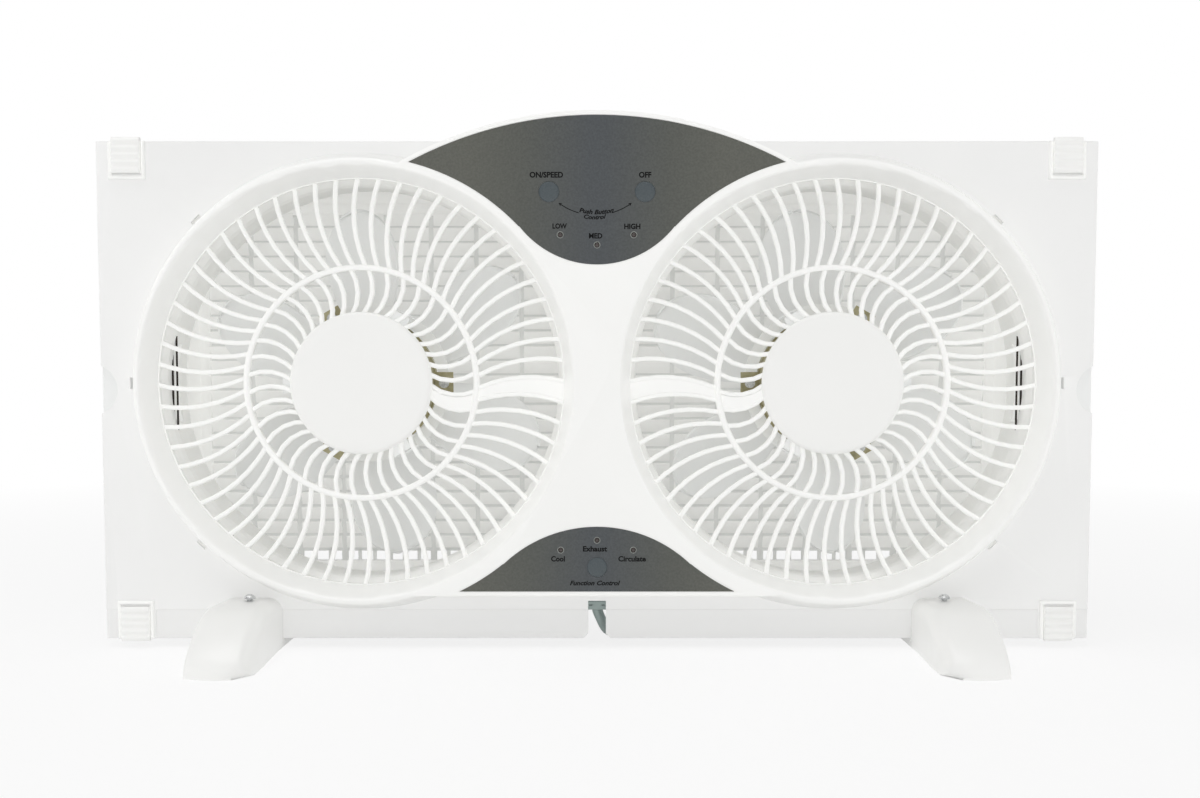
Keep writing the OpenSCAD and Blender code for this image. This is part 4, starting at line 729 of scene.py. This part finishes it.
# How far the toe and the heel fall back, by share of the half width
INNER_TOE = [(0, 0), (0.46, 1.2), (0.73, 3), (0.88, 5.5), (0.96, 9), (1, 14)]
OUTER_TOE = [(0, 0), (0.5, 1), (1, 4)]
HEEL = [(0, 0), (0.5, 2.5), (0.82, 10), (1, 22)]


def between(stops, value):
    """Straight line through (place, amount) stops."""
    for (a, low), (b, high) in zip(stops, stops[1:]):
        if value <= b:
            return low + (high - low) * max(0, value - a) / (b - a)
    return stops[-1][1]


def foot_point(y, height, step, inner):
    """A point of a foot's section. The upper edge and the toe's corner are softer on the inner side."""
    half = between([(-100, TOE_HALF), (-70, TOE_HALF), (-30, HEEL_HALF), (100, HEEL_HALF)], y)
    side = -1 if step < FOOT_STEPS / 2 else 1
    edge = min(INNER_EDGE_R if side == inner else OUTER_EDGE_R, 0.75 * height)
    place = min(step, FOOT_STEPS - step)
    if place < 2:
        x, z = half, place * (height - edge) / 2
    elif place < 11:
        turn = math.radians((place - 2) * 11.25)
        x, z = half - edge + edge * math.cos(turn), height - edge + edge * math.sin(turn)
    else:
        x, z = (half - edge) * (FOOT_STEPS / 2 - place) / 2, height
    share = x / half
    front = between(INNER_TOE if side == inner else OUTER_TOE, share)
    bow = front * max(0, min(1, (-60 - y) / 40)) - between(HEEL, share) * max(0, min(1, (y - 70) / 30))
    return Vector((side * x, y + bow, z)) * MM


def foot(name, x):
    """Foot drawn through its sections: a bowed toe, soft upper edges, a flat sole and a hole for the screw."""
    rows = len(FOOT_SECTIONS) - 1
    bpy.ops.mesh.primitive_grid_add(x_subdivisions=FOOT_STEPS, y_subdivisions=rows, size=2)
    piece = settle(name)
    for vertex in piece.data.vertices:
        y, height = FOOT_SECTIONS[round((vertex.co.y + 1) / 2 * rows)]
        vertex.co = foot_point(y, height, round((vertex.co.x + 1) / 2 * FOOT_STEPS), -1 if x > 0 else 1)
    moved(piece, x)
    clean(piece, 0.02)
    edit(piece, False)
    bpy.ops.mesh.select_non_manifold()
    bpy.ops.mesh.edge_face_add()
    bpy.ops.mesh.select_all(action="SELECT")
    bpy.ops.mesh.normals_make_consistent(inside=False)
    leave_edit()
    bpy.ops.mesh.primitive_cylinder_add(vertices=32, radius=1.75 * MM, depth=34 * MM, location=at(x, SCREW_Y, 22.5))
    cut(piece, settle("screw_hole"))
    return piece


for side, s in SIDES:
    dress(foot(side + "_foot_moulding", s * FOOT_X), "housing", gloss_abs, "bezel_white", side + "_foot", angle=45)

# -------------------- rear grilles
LOUVRE_Z, LOUVRE_TOP, LOUVRE_HALF, CELL_W, CELL_H, COLUMNS, ROWS = 38, 281, 124, 31, 10.125, 8, 23
LOUVRE_X0, LOUVRE_X1 = -FAN_X - LOUVRE_HALF, -FAN_X + LOUVRE_HALF


def repeated(piece, count, x=0, z=0):
    """A row of copies in one piece, x or z mm apart."""
    return modify(piece, "ARRAY", count=count, use_relative_offset=False, use_constant_offset=True,
                  constant_offset_displace=at(x, 0, z))


def rear_grille():
    """Steep louvres that close the view from the front, in columns, held by a flanged frame."""
    low, high = LOUVRE_Z + CELL_H + 0.75, LOUVRE_Z + 2 * CELL_H - 0.75
    slope = [(77.6, high - 0.5), (78, high), (79, high), (82, low + 1), (82, low), (80.6, low)]
    plate = extruded("louvre", [(LOUVRE_X0 + 1.6, y, z) for y, z in slope], x=CELL_W - 3.2)
    repeated(repeated(rounded(plate, 0.2, 2), COLUMNS, x=CELL_W), ROWS, z=CELL_H)
    wall = block("frame_wall", (LOUVRE_X0 + 0.3, 78, LOUVRE_Z + 0.3), (LOUVRE_X1 - 0.3, 82.4, LOUVRE_TOP - 0.3))
    flange = block("flange", (LOUVRE_X0 - 5, 78, LOUVRE_Z - 5), (LOUVRE_X1 + 5, 80, LOUVRE_TOP + 5))
    for piece, inset in ((wall, 2.3), (flange, 1.3)):
        cut(piece, block("opening", (LOUVRE_X0 + inset, 70, LOUVRE_Z + inset),
                         (LOUVRE_X1 - inset, 90, LOUVRE_TOP - inset)))
        rounded(piece, 0.3, 2)
    return joined("left_louvre_grille", [plate, wall, flange])


def rear_lattice():
    """Upright and level bars behind the joints between the louvres; the lowest row stays open as square windows."""
    low, top, third = LOUVRE_Z + 1.3, LOUVRE_TOP - 1.3, CELL_W / 3
    x, z = LOUVRE_X0 + CELL_W, LOUVRE_Z + CELL_H
    uprights = rounded(block("upright_bar", (x - 2.2, 80.8, low), (x + 2.2, 82.2, top)), 0.2, 2)
    levels = rounded(block("level_bar", (LOUVRE_X0 + 1.3, 81, z - 1.5), (LOUVRE_X1 - 1.3, 82.1, z + 1.5)), 0.2, 2)
    posts = block("window_post", (LOUVRE_X0 + third - 1.2, 81, low), (LOUVRE_X0 + third + 1.2, 82, z))
    return joined("left_rear_lattice", [repeated(uprights, COLUMNS - 1, x=CELL_W), repeated(levels, ROWS, z=CELL_H),
                                        repeated(posts, 3 * COLUMNS - 1, x=third)])


left_louvres, left_lattice = rear_grille(), rear_lattice()
dress_pair(left_louvres, housing_abs, "grille_white", "left_rear_grille", angle=40)
# The lattice's greyer ABS is painted shade in the joints between the louvres
dress_pair(left_lattice, shaded_lattice_abs, "grille_white", angle=40)

# -------------------- painted shade strips in the gaps of the extender slots
# Distance from the fan's axis and half height of each strip
GAP_SHADE_STRIPS = ((120.1, 20.6), (117.4, 31.4))
strips = [block("gap_shade_strip", (-FAN_X - out - 0.7, -2.4, FAN_Z - half), (-FAN_X - out, -0.2, FAN_Z + half))
          for out, half in GAP_SHADE_STRIPS]
# The strips' dark brown is painted shade standing in for the slot gaps
dress_pair(joined("left_slot_wipers", [rounded(strip, 0.2, 2) for strip in strips]), painted_gap_shade, "housing_white",
           angle=40)

# -------------------- buttons and lamps
BUTTONS = (("speed", -28.7, 278.2), ("off", 28.7, 278.2), ("function", 0, 52.5))
# Profiles as (radius, depth behind the crest)
DOME = [(0, -0.42), (2, -0.38), (3.6, -0.26), (4.8, -0.08), (5.6, 0.12), (6.1, 0.35), (6.1, 2.25), (7.1, 2.25),
        (7.1, 3), (1.6, 3), (1.6, 4.4), (0, 4.4)]
LAMP = [(0, -0.15), (0.6, -0.08), (1.05, 0.1), (1.3, 0.4), (1.5, 0.6), (1.5, 6.8), (0, 6.8)]
LAMP_RIM = [(1.62, 0.05), (1.7, -0.12), (1.85, -0.16), (2.0, -0.1), (2.08, 0.08)]
LAMPS = [(-22, 252.7), (0, 246.7), (22, 252.7), (-22, 63), (0, 69), (22, 63)]


def on_crest(name, profile, x, z, steps):
    """A turned piece that sits in the overlay."""
    return turned(name, [(r, CREST_Y + depth) for r, depth in profile], x, z, steps)


for name, x, z in BUTTONS:
    dress(on_crest(name + "_dome", DOME, x, z, 64), name + "_button", button_film, "button_grey", name + "_button",
          angle=50)
lamp_domes, lamp_rims = [], []
for x, z in LAMPS:
    lamp_domes.append(on_crest("lamp_dome", LAMP, x, z, 32))
    lamp_rims.append(on_crest("lamp_rim", LAMP_RIM, x, z, 32))
dress(joined("lamp_domes", lamp_domes), "housing", lamp_epoxy, "lamp_red", "indicator_lamps", angle=60)
# The lamp rims' lighter grey is a painted highlight
dress(joined("lamp_rims", lamp_rims), "housing", lamp_rim_highlight, "overlay_grey", angle=60)

# -------------------- printed words
PRINT_Y = CREST_Y + 0.06
CURVE_R, CURVE_X, CURVE_Z = 36.8, -1.1, 301.2
CAP_SHARE = 0.682


def printed(words, x, z, width_mm, cap_mm, slant=0.0, sag=0.0):
    """Words of black ink on the overlay, drawn flat, made a mesh, sized to their real width and laid on a curve."""
    bpy.ops.object.text_add()
    text = bpy.context.object
    text.data.body = words
    text.data.align_x = "CENTER"
    text.data.offset = 0.036
    text.data.shear = slant
    text.data.extrude = 0.01
    text.data.resolution_u = 3
    only(text)
    bpy.ops.object.convert(target="MESH")
    text = bpy.context.object
    low = min(v.co.x for v in text.data.vertices)
    high = max(v.co.x for v in text.data.vertices)
    for vertex in text.data.vertices:
        across = (vertex.co.x - (low + high) / 2) / (high - low)
        up = (vertex.co.y - CAP_SHARE / 2) / CAP_SHARE * cap_mm + sag * (4 * across * across - 0.5)
        vertex.co = Vector((x + across * width_mm, PRINT_Y + vertex.co.z, z + up)) * MM
    text.data.materials.clear()
    return settle("printed_words")


def on_curve(side, radius, angle):
    """A point of the arrow's arc, left or right of its middle."""
    return CURVE_X + side * radius * math.sin(angle), PRINT_Y, CURVE_Z - radius * math.cos(angle)


def arrow_half(side):
    """One half of the curved double arrow: a line along the arc with a head at its outer end."""
    inner, outer, neck = math.radians(15.5), math.radians(36.5), math.radians(33.8)
    line = outline("arrow_line", [on_curve(side, r, inner) for r in (CURVE_R - 0.25, CURVE_R + 0.25)], False)
    edit(line)
    bpy.ops.mesh.spin(steps=12, angle=side * (neck - inner), center=at(CURVE_X, 0, CURVE_Z), axis=(0, 1, 0))
    leave_edit()
    tip = [(CURVE_R, outer), (CURVE_R + 1.05, neck - 0.01), (CURVE_R, neck + 0.005), (CURVE_R - 1.05, neck - 0.01)]
    head = outline("arrow_head", [on_curve(side, r, a) for r, a in tip])
    edit(head)
    bpy.ops.mesh.edge_face_add()
    leave_edit()
    return [line, head]


# Words with their centre, baseline, width, capital height, slant and sag
WORDS = (("ON/SPEED", -30.2, 288.2, 20.0, 3.1), ("OFF", 28.7, 288.2, 7.4, 3.1),
         ("LOW", -22.3, 257.9, 8.6, 2.8), ("MED", -0.8, 252.1, 8.0, 2.9), ("HIGH", 21.1, 257.7, 9.7, 2.9),
         ("Push Button", -0.3, 266.9, 20.6, 2.5, 0.3, 1.4), ("Control", -1.2, 263.4, 13.3, 2.3, 0.3, 0.6),
         ("Cool", -23.7, 57.7, 8.4, 3.0), ("Exhaust", -1.2, 63.8, 14.7, 3.0),
         ("Circulate", 21.3, 57.7, 16.8, 3.0), ("Function Control", -1.2, 42.9, 30.7, 2.6, 0.3))
marks = [printed(*word) for word in WORDS] + arrow_half(-1) + arrow_half(1)
dress(joined("printed_labels", marks), "housing", overlay_ink, "overlay_grey", angle=30)

# -------------------- foot screws
def foot_screw(x):
    """Pan-head screw with a cross recess, standing proud of the foot on its threaded shank."""
    y = SCREW_Y
    bpy.ops.mesh.primitive_cylinder_add(vertices=32, radius=1.55 * MM, depth=27.9 * MM, location=at(x, y, 21.4))
    parts = [settle("screw_shank")]
    for k in range(3):
        bpy.ops.mesh.primitive_torus_add(major_radius=1.6 * MM, minor_radius=0.2 * MM, major_segments=32,
                                         minor_segments=8, rotation=(math.radians(5), 0, 0),
                                         location=at(x, y, 31.8 + 0.55 * k))
        parts.append(settle("screw_thread"))
    bpy.ops.mesh.primitive_uv_sphere_add(segments=40, ring_count=24, radius=3.5 * MM, location=at(x, y, 32.9))
    bpy.context.object.scale = (1, 1, 0.74)
    head = settle("screw_head")
    edit(head)
    bpy.ops.mesh.bisect(plane_co=at(x, y, 33), plane_no=(0, 0, 1), clear_inner=True, use_fill=True)
    leave_edit()
    for turn in (45, 135):
        slot = block("cross_slot", (x - 2.1, y - 0.38, 34.3), (x + 2.1, y + 0.38, 37))
        edit(slot)
        bpy.ops.transform.rotate(value=math.radians(turn), orient_axis="Z", center_override=at(x, y, 0))
        leave_edit()
        cut(head, slot)
    return joined("foot_screw", parts + [head])


dress(joined("foot_screw_pair", [foot_screw(-FOOT_X), foot_screw(FOOT_X)]), "housing", zinc_steel, "screw_steel",
      "foot_screws", angle=40)

# -------------------- cord gland
def gland():
    """Grey clamp plate across the top of the notch: two small slots, a row of teeth, and rounded lower corners."""
    plate = rounded(block("gland_plate", (-9.4, -12.4, 22.9), (9.4, -2.6, 27.4)), 0.5, 3)
    shelf = rounded(block("gland_shelf", (-12.4, -12.4, 26.5), (12.4, -0.6, 30.3)), 0.4, 2)
    for x in (-3.9, 3.9):
        cut(plate, block("gland_slot", (x - 1.1, -13.4, 25.5), (x + 1.1, -10.9, 26.3)))
    for k in range(7):
        x = -4.8 + 1.6 * k
        cut(shelf, block("tooth_gap", (x - 0.35, -13.4, 27.9), (x + 0.35, -11.6, 28.9)))
    return joined("cord_clamp", [plate, shelf])


dress(gland(), "housing", plug_pvc, "cord_grey", "cord_gland", angle=35)

# -------------------- stage and light
def floor_paper():
    """White paper that the camera, and clear or glossy surfaces, see close to white while it keeps the shadow."""
    made, tree, place = new_material("white_floor_paper")
    paper = add(tree, "ShaderNodeBsdfPrincipled", Base_Color=linear("#F6F6F6"), Roughness=0.9)
    glow = add(tree, "ShaderNodeEmission", Color=(1, 1, 1, 1), Strength=1)
    path = add(tree, "ShaderNodeLightPath")
    seen = add(tree, "ShaderNodeMath", [(0, path, "Is Camera Ray"), (1, path, "Is Glossy Ray")], operation="MAXIMUM")
    seen = add(tree, "ShaderNodeMath", [(0, seen, "Value"), (1, path, "Is Transmission Ray")], operation="MAXIMUM")
    far = add(tree, "ShaderNodeVectorMath", [("Vector", place, "Object")], operation="LENGTH")
    glow_here = add(tree, "ShaderNodeMapRange", [("Value", far, "Value")], From_Min=0.4, From_Max=1.4, To_Min=0.8)
    share = add(tree, "ShaderNodeMath", [(0, seen, "Value"), (1, glow_here, "Result")], operation="MULTIPLY")
    mixed = add(tree, "ShaderNodeMixShader", [("Fac", share, "Value"), (1, paper, "BSDF"), (2, glow, "Emission")])
    add(tree, "ShaderNodeOutputMaterial", [("Surface", mixed, "Shader")])
    return made


bpy.ops.mesh.primitive_plane_add(size=14)
floor = bpy.context.object
floor.name = "studio_floor"
floor.data.materials.append(floor_paper())

world = bpy.data.worlds.new("white_studio")
world.use_nodes = True
bpy.context.scene.world = world
sky = world.node_tree
sky.nodes.clear()
soft = add(sky, "ShaderNodeBackground", Color=(1, 1, 1, 1), Strength=0.44)
white = add(sky, "ShaderNodeBackground", Color=(1, 1, 1, 1), Strength=1.0)
rays = add(sky, "ShaderNodeLightPath")
look = add(sky, "ShaderNodeMixShader", [("Fac", rays, "Is Camera Ray"), (1, soft, "Background"),
                                        (2, white, "Background")])
add(sky, "ShaderNodeOutputWorld", [("Surface", look, "Shader")])


def softbox(name, location, aim, size, power):
    """A rectangular lamp turned to face a point."""
    lamp = bpy.data.lights.new(name, "AREA")
    lamp.shape = "RECTANGLE"
    lamp.size, lamp.size_y = size
    lamp.energy = power
    box = bpy.data.objects.new(name, lamp)
    box.location = location
    box.rotation_euler = (Vector(aim) - Vector(location)).to_track_quat("-Z", "Y").to_euler()
    bpy.context.scene.collection.objects.link(box)
    return box


def fill_light(name, location, power):
    """A lamp without shadow or reflection."""
    box = softbox(name, location, (0, 0, 0.16), (0.6, 0.6), power)
    box.data.use_shadow = False
    box.visible_glossy = False


softbox("front_softbox", (0, -1.7, 0.6), (0, 0, 0.16), (2.2, 1.5), 1.55)
softbox("top_softbox", (-0.3, -0.4, 1.6), (0, 0, 0.15), (1.4, 1.0), 7.4)
# Fills without shadows stand for the light that a white studio throws back into every hollow
fill_light("front_fill", (0, -1.7, 0.35), 1)
for side in (-1, 1):
    fill_light("side_fill", (side * 1.5, -0.9, 0.3), 8.3)

# -------------------- end
bpy.context.view_layer.update()
